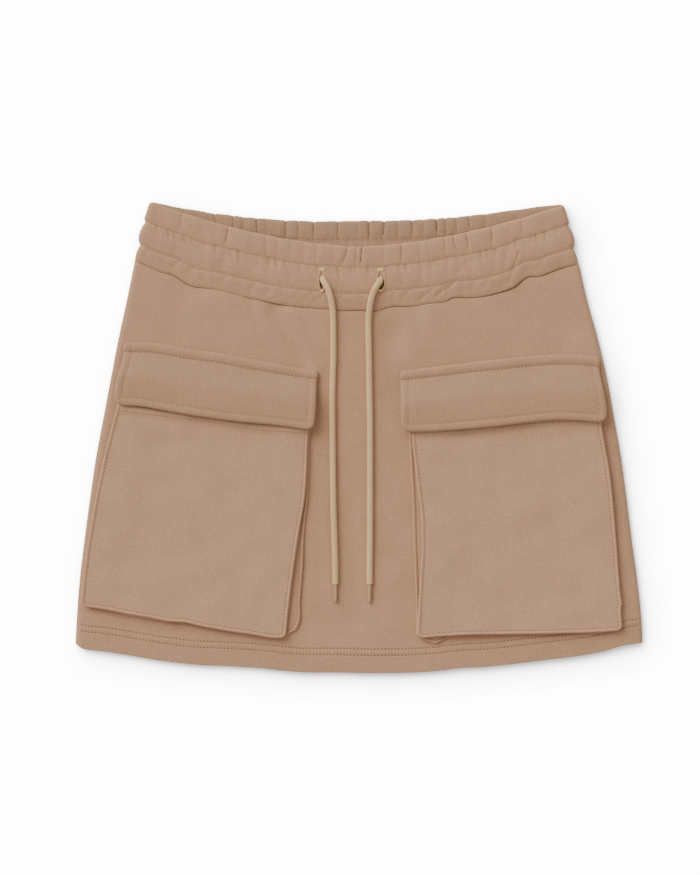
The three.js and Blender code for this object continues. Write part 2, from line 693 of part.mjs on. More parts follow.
// Places across the band: each gather's trough and both its shoulders, and the puff to the next,
// and those that it must share with the panel
function gatherPlaces(gathers, sharedPlaces = []) {
  const width = BAND_RIGHT.x - BAND_LEFT.x;
  const xs = [];
  gathers.forEach((gather, i) => {
    xs.push(gather.x - gather.half, gather.x, gather.x + gather.half);
    const next = gathers[i + 1];
    if (next) xs.push((gather.x + gather.half + next.x - next.half) / 2);
  });
  const places = xs.map((x) => (x - BAND_LEFT.x) / width).sort((a, b) => a - b);
  const apart = places.filter((place, i) => i === 0 || place - places[i - 1] > 2 / width);
  const own = apart.filter((place) => sharedPlaces.every((other) => Math.abs(place - other) > 2 / width));
  return [...own, ...sharedPlaces].sort((a, b) => a - b);
}

const bandWidth = BAND_RIGHT.x - BAND_LEFT.x;
const bandRows = BAND_ROWS.map(({ down }) => down);
const hiddenBandRows = [0, 0.06, 0.17, 0.34, 0.54, 0.735, 1]; // the back half shows only its inner face
const ELASTIC = 4; // cloth, elastic and cloth

function bandRow(v) {
  return BAND_ROWS.find(({ down }) => down === v);
}

const CORD_SIDES = 8;

// The drawcord's tube, and the wider tube that clears it where it leaves its buttonhole
function cordTube(route, width, steps) {
  const circle = new THREE.Shape().setFromPoints(
    Array.from({ length: CORD_SIDES }, (unused, i) => {
      const turn = 2 * Math.PI * i / CORD_SIDES;
      return new THREE.Vector2(Math.cos(turn) * width / 2, Math.sin(turn) * width / 2);
    }),
  );
  const path = new THREE.CatmullRomCurve3(route.map(({ x, y, z }) => new THREE.Vector3(x, y, z)));
  return new THREE.ExtrudeGeometry(circle, { steps, extrudePath: path });
}

const CORD_CLEARANCE = 1.4; // wider than the cord, across
const slotTools = CORDS.map(({ route }) => {
  const [first, second] = route;
  const inside = {
    x: 2 * first.x - second.x,
    y: 2 * first.y - second.y,
    z: first.z,
  };
  return cordTube([inside, ...route.slice(0, 7)], CORD_WIDTH + CORD_CLEARANCE, 14);
});

addPiece('waistband_front', cutAway(rolledWall(
  bandPatch(FRONT_EDGE, frontSeamLine, FRONT_GATHERS),
  rolledColumns(bandWidth, ELASTIC, gatherPlaces(FRONT_GATHERS, seamPlaces(400))),
  bandRows,
  (x, y, v) => {
    const row = bandRow(v);
    const outer = row.top - gatherDepth(FRONT_GATHERS, x, v);
    return { outer, inner: row.under, lip: row.lip + SEAM_GAP };
  },
), slotTools), CLOTH_LOOK);

addPiece('waistband_back', rolledWall(
  bandPatch(BACK_EDGE, backSeamLine, BACK_GATHERS, backEdgeShift),
  rolledColumns(bandWidth, ELASTIC, gatherPlaces(BACK_GATHERS)),
  hiddenBandRows,
  (x, y, v) => {
    const row = bandRow(v);
    const inner = row.backTop - gatherDepth(BACK_GATHERS, x, v);
    return { outer: row.floor, inner, lip: row.lip };
  },
), CLOTH_LOOK);

// Pocket faces

const facePatches = Object.fromEntries(POCKETS.map(({ side, face }) => [side, borders(face)]));

function facePlace(pocket, f, v) {
  const patch = facePatches[pocket.side];
  const place = patchPoint(patch, f, v);
  if (v === 1 && (f === 0 || f === 1)) {
    const middle = patchPoint(patch, 0.5, 0.5);
    place.add(middle.sub(place).setLength(CORNER_PULL));
  }
  return place;
}

function faceSize(pocket) {
  const width = facePlace(pocket, 0, 0.5).distanceTo(facePlace(pocket, 1, 0.5));
  const length = facePlace(pocket, 0.5, 0).distanceTo(facePlace(pocket, 0.5, 1));
  return { width, length };
}

const RIDGE = 2.4; // width of the raised rim outside the edge stitching
const RIDGE_END = 4.2;
const OVER_GUSSET = 18; // the face lies level this far in, over the gusset

function addPocketFace(pocket) {
  const { width, length } = faceSize(pocket);
  const fromEdge = [0, RIDGE, RIDGE_END, OVER_GUSSET, width * 0.28].map((d) => d / width);
  const across = [...fromEdge, 0.5, ...fromEdge.map((f) => 1 - f).reverse()];
  const down = [
    0, pocket.mouth / length, (pocket.mouth + 2) / length, 0.3, 0.45, 0.6, 0.75,
    1 - OVER_GUSSET / length, 1 - RIDGE_END / length, 1 - RIDGE / length, 1,
  ];
  const under = (f, v) => {
    const { x, y } = facePlace(pocket, f, v);
    const inside = Math.min(f * width, (1 - f) * width, (1 - v) * length);
    const sag = FACE_SAG * clamp((inside - OVER_GUSSET) / 20, 0, 1);
    return new THREE.Vector3(x, y, frontTop(x, y) + FACE_STAND - sag);
  };
  const over = (f, v) => {
    const point = under(f, v);
    const inside = Math.min(f * width, (1 - f) * width, (1 - v) * length);
    const ridge = inside < RIDGE + 0.1 ? EDGE_RIDGE : 0;
    const hem = v * length < pocket.mouth + 0.1 ? MOUTH_HEM_CLOTH : CLOTH + ridge;
    point.z += hem;
    return point;
  };
  addPiece(
    `pocket_face_${pocket.side}`,
    wall(down.map((v) => across.map((f) => over(f, v))), down.map((v) => across.map((f) => under(f, v)))),
    CLOTH_LOOK,
  );
}

// Pocket gussets: a strip folded in on itself between the base seam on the front panel and the
// face's edge. It runs down the left side, along the bottom and up the right side.

const GUSSET_STATIONS = [
  ...[0, 0.12, 0.25, 0.38, 0.5, 0.62, 0.74, 0.86].map((v) => ({ f: 0, v, along: v })),
  ...[0, 0.04, 0.085, 0.14, 0.22, 0.36, 0.5, 0.64, 0.78, 0.88, 1].map((f) => ({ f, v: 1, along: 1 + f })),
  ...[0.923, 0.82, 0.72, 0.62, 0.5, 0.38, 0.25, 0.12, 0].map((v) => ({ f: 1, v, along: 3 - v })),
];
const GUSSET_ENDS = [[0, 1, 6], [0, 6, 7], [1, 2, 6], [2, 3, 6], [3, 4, 5], [3, 5, 6]];
const FOLD_NOSE = 1.2; // how far the fold's round nose reaches past its two layers

function addPocketGusset(pocket) {
  const { width, length } = faceSize(pocket);
  const inF = GUSSET_FOLD / width;
  const inV = GUSSET_FOLD / length;
  const shiftX = smoothColumn(pocket.baseShift, 'along', 'dx');
  const shiftY = smoothColumn(pocket.baseShift, 'along', 'dy');
  const sections = GUSSET_STATIONS.map(({ f, v, along }) => {
    const edge = facePlace(pocket, f, v);
    const fold = facePlace(pocket, clamp(f, inF, 1 - inF), Math.min(v, 1 - inV));
    const base = edge.clone().add(new THREE.Vector2(shiftX(along), shiftY(along)));
    const inwards = fold.clone().sub(edge).normalize();
    const nose = fold.clone().addScaledVector(inwards, FOLD_NOSE);
    const crotch = fold.clone().addScaledVector(inwards, -FOLD_NOSE);
    const tucked = edge.clone().addScaledVector(inwards, SEAM_GAP);
    const low = FLAP_SEAT;
    const lowTop = low + GUSSET_CLOTH;
    const high = lowTop + SEAM_GAP;
    const highTop = high + GUSSET_CLOTH;
    const middle = (lowTop + high) / 2;
    const at = (place, above) => new THREE.Vector3(place.x, place.y, frontTop(place.x, place.y) + above);
    return [
      at(base, low), at(fold, low), at(nose, middle), at(fold, highTop),
      at(tucked, highTop), at(tucked, high), at(crotch, middle), at(base, lowTop),
    ];
  });
  addPiece(`pocket_gusset_${pocket.side}`, strip(sections, GUSSET_ENDS), CLOTH_LOOK);
}

// Pocket flaps

const FLAP_EDGE = 2.6; // the flap thins over its rounded edge
const FLAP_EDGE_DROP = 0.7;

function addPocketFlap(pocket) {
  const patch = borders(pocket.flap);
  const above = straightColumn(FLAP_ROWS, 'down', 'above');
  const width = patch.top(0).distanceTo(patch.top(1));
  const longest = FLAP_ROWS.at(-1).down;
  const fromEdge = [0, FLAP_EDGE, 6, 14].map((d) => d / width);
  const across = [...fromEdge, 0.2, 0.35, 0.5, 0.65, 0.8, ...fromEdge.map((f) => 1 - f).reverse()];
  const top = (f, row) => {
    const place = patchPoint(patch, f, row.down / longest);
    const thinned = f === 0 || f === 1 ? FLAP_EDGE_DROP : 0;
    return new THREE.Vector3(place.x, place.y, frontTop(place.x, place.y) + above(row.down) - thinned);
  };
  const under = (f, row) => {
    const point = top(f, row);
    const edge = f === 0 || f === 1 || row === FLAP_ROWS.at(-1);
    const thickness = edge ? FLAP_CLOTH - 2 * FLAP_EDGE_DROP : FLAP_CLOTH;
    const lowest = frontTop(point.x, point.y) + FLAP_SEAT;
    point.z = Math.max(point.z - thickness, lowest);
    return point;
  };
  const grid = (face) => FLAP_ROWS.map((row) => across.map((f) => face(f, row)));
  addPiece(`flap_${pocket.side}`, wall(grid(top), grid(under)), CLOTH_LOOK);
}

for (const pocket of POCKETS) {
  addPocketFace(pocket);
  addPocketGusset(pocket);
  addPocketFlap(pocket);
}

// Drawcord ends and their tips

const CORD_STEPS = 28;
const TIP_DROP = 0.8; // the thinner tip sinks towards the cloth

for (const { side, route } of CORDS) {
  addPiece(`drawcord_${side}`, cordTube(route, CORD_WIDTH, CORD_STEPS), CORD_LOOK);
  const last = route.at(-1);
  const before = route.at(-2);
  const end = new THREE.Vector3(last.x, last.y, last.z);
  const direction = end.clone().sub(new THREE.Vector3(before.x, before.y, before.z)).normalize();
  direction.z = -TIP_DROP / TIP_LENGTH;
  direction.normalize();
  const tip = new THREE.CylinderGeometry(TIP_WIDTH / 2, TIP_WIDTH / 2, TIP_LENGTH, 10);
  const turn = new THREE.Quaternion().setFromUnitVectors(new THREE.Vector3(0, 1, 0), direction);
  tip.applyQuaternion(turn);
  const middle = end.addScaledVector(direction, SEAM_GAP + TIP_LENGTH / 2);
  tip.translate(middle.x, middle.y, middle.z);
  addPiece(`cord_tip_${side}`, tip, TIP_LOOK);
}

export default skirt;
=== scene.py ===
"""A cargo skirt in heavy sweat cloth, laid flat: its looks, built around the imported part.

Sizes are in millimetres and become metres when a mesh is made. +Y is towards the waist and +Z is up,
out of the skirt's front. Left and right are as seen from above.
"""

import math

import bpy
import numpy as np
from bpy.props import FloatProperty, FloatVectorProperty, PointerProperty
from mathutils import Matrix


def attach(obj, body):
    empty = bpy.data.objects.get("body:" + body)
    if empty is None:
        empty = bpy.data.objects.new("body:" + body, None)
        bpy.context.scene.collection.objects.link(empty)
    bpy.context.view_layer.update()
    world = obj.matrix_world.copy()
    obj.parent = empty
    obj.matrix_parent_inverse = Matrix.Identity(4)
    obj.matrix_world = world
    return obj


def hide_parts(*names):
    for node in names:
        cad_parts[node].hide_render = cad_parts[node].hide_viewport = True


bl_info = {
    "name": "Cargo skirt laid flat",
    "version": (1, 0, 0),
    "blender": (4, 5, 0),
    "location": "View3D > Sidebar > Skirt",
    "description": "Builds a drawcord cargo skirt with its seams, gathers, pockets and studio",
    "category": "Add Mesh",
}

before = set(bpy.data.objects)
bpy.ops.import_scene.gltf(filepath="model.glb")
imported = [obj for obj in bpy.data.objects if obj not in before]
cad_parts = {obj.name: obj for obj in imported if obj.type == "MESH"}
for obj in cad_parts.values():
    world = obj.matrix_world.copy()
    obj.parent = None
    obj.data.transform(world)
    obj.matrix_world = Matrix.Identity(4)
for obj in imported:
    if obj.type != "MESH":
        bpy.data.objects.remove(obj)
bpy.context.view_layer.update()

MM = 0.001

# Driving sizes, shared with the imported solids

CLOTH = 1.8
GUSSET_CLOTH = 1.4
FLAP_CLOTH = 3.2
SEAT = 0.3  # between pieces that are sewn on each other
FRONT_TOP = 6.6
SIDE_LIP = 3.1
SIDE_ROLL = 5.0
ELASTIC = 4.0
HEM_WIDTH = 482.8
HEM_DROP = 200.0
HEM_RISE = 25.0
SEAM_LEFT = -190.8
SEAM_RIGHT = 186.6
SEAM_MIDDLE = 108.5
SEAM_RISE = 42.5
BAND_LEFT = (-178.4, 201.0)  # top corners of the waistband, before they are rounded
BAND_RIGHT = (174.3, 199.5)
# Waist's edge: its height at the middle, the power of its curve, and how deep the gathers notch it
FRONT_EDGE = (162.5, 1.7, 0.2)
BACK_EDGE = (183.7, 2.2, 0.55)
BAND_CORNER = 1.6  # how far the rounding drops a corner, and how far it reaches
BACK_SEAM_MIDDLE = 133.0
FRONT_HEM = 3.2
BACK_HEM = 3.1
HEM_ROWS = (15.2, 20.5)  # the twin stitch rows above the hem's edge
HEM_DEPTH = 22.4
PANEL_LENGTH = 318.0  # of a panel, from its waist seam to its hem
BAND_DEPTH = 55.0  # of the waistband, from its top edge to the waist seam
GUSSET_FOLD = 14.0
FACE_STAND = 3.7
FACE_SAG = 0.7
MOUTH_HEM_CLOTH = 3.0
FLAP_LENGTH = 52.7
FLAP_SEWN = 7.9
CORD_TALL = 4.4  # the drawcord is pressed a little flat
ROUTE_TALL = 5.0  # height of the cord that its routes are drawn for
CORD_STEP = 1.2
TIP_LENGTH = 15.5
CREASE_WIDTH = 0.5
CASING_ROW = 0.34  # stitch rows of the waistband, as shares of its depth
CHANNEL_ROW = 0.735
INNER_ROW = 0.3  # the casing's row as it shows on the inside of the back half


def table(columns, *rows):
    """A short table: each column's name with its values as an array."""
    return dict(zip(columns.split(), np.array(rows, float).T))


SIDE_ROWS = table(
    "y left right",
    (-175, -241.4, 241.4),
    (-154, -240.4, 240.3),
    (-120, -237.8, 236.7),
    (-86, -233.7, 232.0),
    (-52, -229.2, 227.8),
    (-18, -224.2, 223.2),
    (16, -217.9, 217.4),
    (50, -211.5, 211.3),
    (84, -204.9, 203.4),
    (118, -197.6, 194.0),
    (151, -190.8, 186.6),
)

# How far the hem, the waist seam and the waist's back edge stray upwards from their smooth lines
HEM_WANDER = table(
    "x shift",
    (-241.4, -0.6),
    (-235, -3.4),
    (-220, -2.4),
    (-200, -1.7),
    (-165, -2.0),
    (-135, -1.4),
    (-115, 0),
    (-84, 0.8),
    (-65, 0),
    (-48, -0.6),
    (-20, 0),
    (20, -0.6),
    (60, -0.7),
    (87, 0.7),
    (105, 0),
    (155, 0),
    (190, -0.8),
    (208, -0.4),
    (226, 1.5),
    (241.4, 0.4),
)
SEAM_WANDER = table(
    "x shift",
    (-190.8, 0),
    (-170, -0.8),
    (-158, 0.3),
    (-143, -3.2),
    (-132, -1.6),
    (-122, 0),
    (-90, 0.1),
    (-60, -0.5),
    (-27, 0),
    (-18, -0.8),
    (0, -0.3),
    (14, -0.8),
    (29, 2.0),
    (42, 0.9),
    (60, 1.3),
    (73, 0.8),
    (81, 3.0),
    (92, 0.6),
    (106, -1.4),
    (131, -0.9),
    (143, 4.0),
    (153, 1.4),
    (172, 1.0),
    (186.6, -1.6),
)
BACK_EDGE_WANDER = table(
    "x shift",
    (-178.4, 0),
    (-40, 0),
    (0, 1.1),
    (40, 0.9),
    (100, 1.5),
    (140, 1.9),
    (160, 1.2),
    (178.4, 0),
)

# The waistband down from its top edge to the waist seam
BAND_ROWS = table(
    "down top under lip back floor bulge",
    (0, 7.2, 5.6, 4.3, 2.9, 1.0, 0),
    (0.02, 8.1, 4.8, 4.3, 3.6, 0.3, 0.1),
    (0.06, 8.7, 4.4, 4.3, 4.0, 0, 0.4),
    (0.17, 9.0, 4.4, 4.3, 3.8, 0, 0.8),
    (0.28, 8.7, 4.4, 4.3, 3.2, 0, 0.9),
    (0.34, 8.2, 4.5, 4.3, 2.7, 0, -0.6),
    (0.4, 8.6, 4.4, 4.3, 3.0, 0, 0.8),
    (0.54, 9.1, 4.4, 4.3, 3.3, 0, 2.0),
    (0.67, 8.7, 4.4, 4.3, 3.2, 0, 0.9),
    (0.735, 8.1, 4.5, 4.2, 2.7, 0, -1.2),
    (0.8, 8.4, 4.5, 4.0, 3.0, 0, -0.2),
    (0.9, 7.7, 4.6, 3.6, 2.7, 0, 0.4),
    (0.97, 7.0, 4.6, 3.4, 2.2, 0, 0.2),
    (1, 6.3, 4.7, 3.1, 1.8, 0, 0),
)

# Gathers: where each starts, how far it leans by the casing's stitch row, its half width, its depths
# in the casing, the channel and the lower strip, and the depth of the sharp crease at its middle
FRONT_GATHERS = table(
    "x lean half casing channel low crease",
    (-171, -1, 6, 0.8, 0.4, 0.2, 0),
    (-166, 1, 6, 0.9, 0.3, 0.1, 0.2),
    (-150, -4, 7, 1.6, 0.5, 0.4, 0.5),
    (-133, 1, 6, 0.7, 0.8, 0.5, 0),
    (-121, -1, 6, 0.8, 0.4, 0.2, 0),
    (-111, -3, 7, 1.9, 0.7, 0.2, 0.9),
    (-91, 0, 6, 1.0, 0.5, 0.6, 0.1),
    (-79, 1, 6, 1.5, 0.9, 0.3, 0.5),
    (-69, 0, 5, 0.9, 0.4, 0.2, 0),
    (-58, -1, 6, 1.2, 0.8, 0.4, 0.1),
    (-47, 0, 5, 1.0, 0.4, 0.3, 0),
    (-36, -1, 6, 1.4, 0.5, 0.2, 0.3),
    (-21, 0, 5, 1.0, 0.3, 0.2, 0.1),
    (-9.5, -6, 5, 1.7, 0.3, 0.1, 1.1),
    (-2, -1, 3, 1.0, 0.3, 0.1, 0.6),
    (2.6, -1.5, 4, 1.9, 0.3, 0.1, 1.5),
    (21, 1, 5, 0.8, 0.4, 0.3, 0.1),
    (36, 1, 5, 1.5, 0.9, 0.6, 0.7),
    (51, 2, 5, 1.3, 1.1, 0.3, 0.5),
    (59, 1, 4, 0.8, 0.5, 0.5, 0),
    (72.6, 2, 5, 1.4, 1.0, 0.7, 0.5),
    (80, 5, 5, 1.4, 0.4, 0.6, 0.8),
    (91.5, 3, 6, 1.6, 0.7, 0.3, 0.9),
    (112.6, 1.5, 6, 1.8, 0.9, 0.3, 1.0),
    (128, -3, 6, 0.7, 1.2, 0.8, 0),
    (137.7, 2, 7, 1.3, 0.7, 0.5, 0.6),
    (157, 3, 6, 0.8, 0.4, 0.1, 0),
)
BACK_GATHERS = table(
    "x lean half casing channel low crease",
    (-148, 1, 6, 0.6, 0.5, 0.2, 0.1),
    (-128, 1, 6, 0.9, 0.6, 0.2, 0.4),
    (-123, 3, 6, 1.3, 0.9, 0.2, 0.8),
    (-107, 1, 5, 1.1, 0.6, 0.2, 0.8),
    (-98, -2, 5, 1.1, 0.6, 0.2, 0.5),
    (-87, 0.5, 6, 1.4, 0.9, 0.2, 1.2),
    (-79, 1, 5, 0.8, 0.5, 0.2, 0.3),
    (-62, -1, 5, 1.5, 0.6, 0.2, 1.3),
    (-51.5, 0, 4, 1.1, 0.6, 0.2, 0.7),
    (-38.5, 0, 5, 1.3, 1.0, 0.2, 1.0),
    (-18, 0.5, 5, 1.3, 0.8, 0.2, 0.9),
    (-1, 0, 5, 0.9, 0.6, 0.2, 0.4),
    (8.3, 0.5, 4, 1.8, 1.2, 0.2, 1.8),
    (21.5, -1.5, 5, 1.6, 1.1, 0.2, 1.4),
    (33, 0, 4, 1.0, 0.5, 0.2, 0.6),
    (45.5, 0.5, 4, 1.3, 0.8, 0.2, 0.9),
    (55, 0, 4, 0.9, 0.6, 0.2, 0.4),
    (66, 1, 5, 1.7, 0.9, 0.2, 1.7),
    (73.5, 1, 4, 1.2, 0.4, 0.2, 0.8),
    (83, 0.5, 5, 1.2, 0.5, 0.2, 0.7),
    (94, 0.5, 5, 1.2, 0.6, 0.2, 0.9),
    (108, -2, 6, 0.9, 0.8, 0.2, 0.3),
    (136, -3, 6, 0.7, 0.6, 0.2, 0.2),
)

# Folds of the front panel: a line, the width of the bell across it, and its height
FOLDS = table(
    "from_x from_y to_x to_y width height",
    (-93, 115, -86, 93, 3.5, -0.9),
    (-72, 108, -45, 62, 7, -1.9),
    (-58, 106, -38, 62, 7, 1.0),
    (-122, 116, -96, 92, 14, 0.9),
    (-150, 125, -160, 90, 12, -0.8),
    (26, 84, 30, 40, 11, -1.6),
    (48, 106, 52, 84, 5, -0.8),
    (62, 104, 40, 66, 13, 0.9),
    (136, 118, 176, 88, 16, -1.4),
    (-8, -60, -5, -150, 10, -1.2),
    (28, -120, 34, -160, 10, 0.7),
)

# Folds that the drawn-up waistband has
BAND_FOLDS = table(
    "from_x from_y to_x to_y width height",
    (135.6, 157, 132.3, 146.6, 0.9, -0.9),
    (131, 144.5, 127.7, 131, 1.8, -0.6),
    (80.2, 131, 65.9, 120.6, 1.5, -0.8),
    (62, 125.8, 51.6, 116.9, 1.5, -0.7),
    (41.6, 123, 43, 115, 2, -0.5),
    (-118, 147, -112, 133, 3, -0.5),
    (-66, 131, -64, 122, 2.5, -0.5),
    (-150, 166, -138, 160, 3, -0.6),
    (96, 150, 84, 141, 3, -0.5),
    (-100, 150, -86, 143, 3, -0.5),
)

# Soft folds of the pocket faces
FACE_FOLDS = table(
    "from_x from_y to_x to_y width height",
    (-192, 18, -155, 3, 8, 0.9),
    (-172, -5, -122, -9, 9, -0.6),
    (-190, -118, -130, -116, 11, 0.5),
    (-150, -92, -100, -84, 13, -0.5),
    (-96, -146, -84, -120, 10, 0.5),
    (50, 0, 112, 2, 5, -0.7),
    (56, -14, 104, -10, 8, 0.5),
    (150, -3, 192, 4, 6, -0.5),
    (92, -72, 152, -60, 14, 0.5),
    (118, -142, 182, -134, 10, -0.5),
)

POCKETS = {
    "left": {
        "face": {
            "top": ((-201.5, 42), (-186, 40), (-126, 32.9), (-90, 26.9), (-51, 24.2), (-42.5, 24)),
            "left": ((-201.5, 42), (-205.5, 25), (-218, -25), (-228, -77), (-233, -112), (-236.2, -143)),
            "right": ((-42.5, 24), (-43, 4), (-45.5, -48), (-51.5, -85), (-58.4, -135), (-62, -170.3)),
            "bottom": (
                (-236.2, -143), (-219.9, -145.2), (-205.4, -147.8), (-190.9, -150.6), (-176.4, -153),
                (-161.9, -155.9), (-147.5, -156.9), (-133, -160.2), (-118.5, -162.8), (-104, -165.2),
                (-89.5, -167.3), (-76, -169.7), (-62, -170.3),
            ),
        },
        "mouth": 19.6,
        "flap": {
            "top": (
                (-198.5, 81), (-171.3, 80.2), (-144.1, 75.2), (-116.9, 71.5), (-89.7, 66.2),
                (-62.5, 61.2), (-35.3, 57.1),
            ),
            "left": ((-198.5, 81), (-199.8, 68.5), (-203.6, 54), (-206.4, 41), (-206.5, 27)),
            "right": ((-35.3, 57.1), (-35.9, 41), (-36.6, 23), (-38.2, 5.4)),
            "bottom": (
                (-206.5, 27), (-185.7, 26.2), (-164.9, 22.7), (-144.1, 19), (-123.2, 16),
                (-102.4, 13.2), (-81.6, 11.4), (-60.8, 9), (-38.2, 5.4),
            ),
        },
        "base": table(
            "along dx dy",
            (0, 1, 0),
            (0.5, 6, 0),
            (1, 9, 2),
            (1.08, 8, -0.5),
            (1.16, 8, -3.4),
            (1.26, 8, -3.2),
            (1.36, 8, -1.8),
            (1.5, 8, 0.5),
            (1.85, 6, 1.5),
            (1.97, 4.4, 1.2),
            (2, 5.6, 2.4),
            (2.03, 8.3, 1.2),
            (2.077, 10.7, 0.4),
            (2.16, 9.2, 0),
            (2.3, 7.8, 0),
            (2.43, 5.2, 0),
            (2.62, 2.4, 0),
            (3, 1.2, 0),
        ),
    },
    "right": {
        "face": {
            "top": ((45, 20.5), (65, 22.1), (104, 25.6), (150, 30.6), (183, 31.9), (203, 32)),
            "left": (
                (45, 20.5), (44.5, 3), (49.6, -43), (52.4, -68), (53, -92), (51, -127), (48.7, -170.3),
            ),
            "right": (
                (203, 32), (205.3, 12), (212.6, -31), (217.6, -81), (221.4, -131), (222.3, -137.5),
                (222.9, -141.2), (222, -144.5), (222.1, -149), (222.9, -156), (223.2, -163.8),
            ),
            "bottom": (
                (48.7, -170.3), (69, -168.7), (92, -167.3), (130, -166.9), (188, -165.7), (223.2, -163.8),
            ),
        },
        "mouth": 18.0,
        "flap": {
            "top": ((35.6, 56.5), (78.1, 61.9), (119.7, 66.7), (161.4, 70.3), (185, 70.6), (203, 68.7)),
            "left": ((35.6, 56.5), (35.2, 40), (35.3, 23), (36.2, 4.4)),
            "right": ((203, 68.7), (204.2, 55), (206.9, 40), (209.2, 26), (209.8, 12.4)),
            "bottom": (
                (36.2, 4.4), (59.9, 5), (81.4, 6.3), (102.8, 8), (124.3, 10.2), (145.7, 12.9),
                (167.1, 14.7), (188.6, 13.9), (209.8, 12.4),
            ),
        },
        "base": table(
            "along dx dy",
            (0, -1, 0),
            (0.29, -4.7, 0),
            (0.49, -7.1, 0),
            (0.6, -6.7, 0),
            (0.8, -2.8, 0),
            (1, 0, -1),
            (1.03, 1, -2.4),
            (1.08, 1.6, -6),
            (1.11, 1.2, -4.4),
            (1.15, 1, -1),
            (1.18, 1, 0.5),
            (1.5, 0, 1.5),
            (2, -2, 2),
            (2.5, -3, 0),
            (3, -1, 0),
        ),
    },
}

# Height of a flap's top above the front panel, down from its sewn edge
FLAP_ROWS = table(
    "down above",
    (0, 2.8),
    (1.2, 4.1),
    (3.8, 4.9),
    (6.2, 4.7),
    (7.9, 4.3),
    (9.7, 4.6),
    (12.7, 5.4),
    (19.7, 7.6),
    (27.7, 9.8),
    (36.7, 10.5),
    (48.7, 10.4),
    (52.7, 10.2),
)

# Routes of the drawcord's free ends, from inside the channel to where the tip begins
CORD_ROUTES = {
    "left": (
        (-32.2, 139.5, 8.3), (-31.4, 136.2, 9.3), (-29.5, 131.8, 10.9), (-27.0, 127.4, 12.1),
        (-25.0, 122.0, 12.1), (-23.4, 115.6, 11.3), (-22.3, 108.0, 10.2), (-21.9, 99.0, 9.5),
        (-21.8, 90.1, 9.4), (-21.8, 67.2, 9.4), (-22.6, 39.1, 9.4), (-22.6, 14.5, 9.4),
        (-22.2, -20.0, 9.4), (-21.8, -53.6, 9.4), (-20.9, -84.2, 9.3), (-20.2, -106.0, 9.2),
        (-20.0, -124.1, 9.0),
    ),
    "right": (
        (18.6, 138.5, 8.3), (18.3, 135.2, 9.3), (17.1, 131.4, 10.9), (14.2, 127.4, 12.1),
        (11.6, 121.8, 12.1), (9.6, 114.4, 11.3), (8.5, 106.0, 10.2), (8.0, 98.0, 9.5),
        (8.0, 90.1, 9.4), (8.5, 67.2, 9.4), (8.9, 39.1, 9.4), (9.4, 14.5, 9.4),
        (9.4, -20.0, 9.4), (9.4, -53.6, 9.4), (9.3, -84.2, 9.3), (9.1, -106.0, 9.2),
        (9.0, -124.1, 9.0),
    ),
}


# Softboxes: direction that each shines from, its width in degrees as the skirt sees it, and its light
SOFTBOXES = {
    "softbox": ((-1.25, 1.35, 1.7), 34.0, 1.5),
    "low_softbox": ((-1.25, 1.35, 0.75), 50.0, 2.2),
}
AIR_LIGHT = 0.65
FLOOR_SEEN = 11.5  # the floor's white to the camera, and to everything else
FLOOR_LIT = 0.9
CAMERA_ASIDE = -7.65  # the camera stands a little to the left of the skirt's middle
CAMERA_LENS = 85
CAMERA_SENSOR = 36
# The floor's painted shadow beside the skirt, drawn by an ambient occlusion mask: its reach, its depth, and
# which way it looks for what covers it
PAINTED_SHADOW_REACH = 0.028
PAINTED_SHADOW_DEPTH = 3.2
PAINTED_SHADOW_SIDE = (-0.52, 0.56, 0.64)


class SkirtSizes(bpy.types.PropertyGroup):
    """Sizes that a maker might change."""

    cord_width: FloatProperty(
        name="Cord width", description="Width of the drawcord", default=5.3 * MM, unit="LENGTH"
    )
    stitch_pitch: FloatProperty(
        name="Stitch length", description="From one needle hole to the next", default=2.9 * MM, unit="LENGTH"
    )
    thread_width: FloatProperty(
        name="Thread width", description="Width of the sewing thread", default=0.55 * MM, unit="LENGTH"
    )
    camera_height: FloatProperty(
        name="Camera height", description="Camera above the floor", default=1.762, unit="LENGTH"
    )


class SkirtColours(bpy.types.PropertyGroup):
    """Colours that a maker might change."""

    cloth: FloatVectorProperty(
        name="Cloth", description="Tan of the sweat cloth", subtype="COLOR", default=(0.465, 0.256, 0.141)
    )
    # A lighter copy of the cloth's tan: painted light on the pocket faces
    pocket_cloth_painted_light: FloatVectorProperty(
        name="Pocket cloth, painted light",
        description="Tan of the pocket faces, whose nap lies the other way",
        subtype="COLOR",
        default=(0.493, 0.275, 0.152),
    )
    # A darker copy of the cloth's tan: painted shade on the flaps
    flap_cloth: FloatVectorProperty(
        name="Flap cloth", description="Tan of the flaps", subtype="COLOR", default=(0.415, 0.231, 0.126)
    )
    # A darker copy of the cloth's tan: painted shade on the recessed inside of the waistband's back half
    inner_cloth_painted_shade: FloatVectorProperty(
        name="Inner cloth, painted shade",
        description="Tan of the waistband's back half, whose inside shows",
        subtype="COLOR",
        default=(0.4, 0.228, 0.127),
    )
    cord: FloatVectorProperty(
        name="Cord", description="Beige of the drawcord", subtype="COLOR", default=(0.67, 0.43, 0.205)
    )
    tip: FloatVectorProperty(
        name="Cord tip", description="Colour of the cord tips", subtype="COLOR", default=(0.44, 0.28, 0.153)
    )
    floor: FloatVectorProperty(
        name="Floor", description="Pale studio floor", subtype="COLOR", default=(1.0, 1.0, 1.0)
    )


def sizes():
    return bpy.context.scene.skirt_sizes


def colours():
    return bpy.context.scene.skirt_colours


# Curves and heights


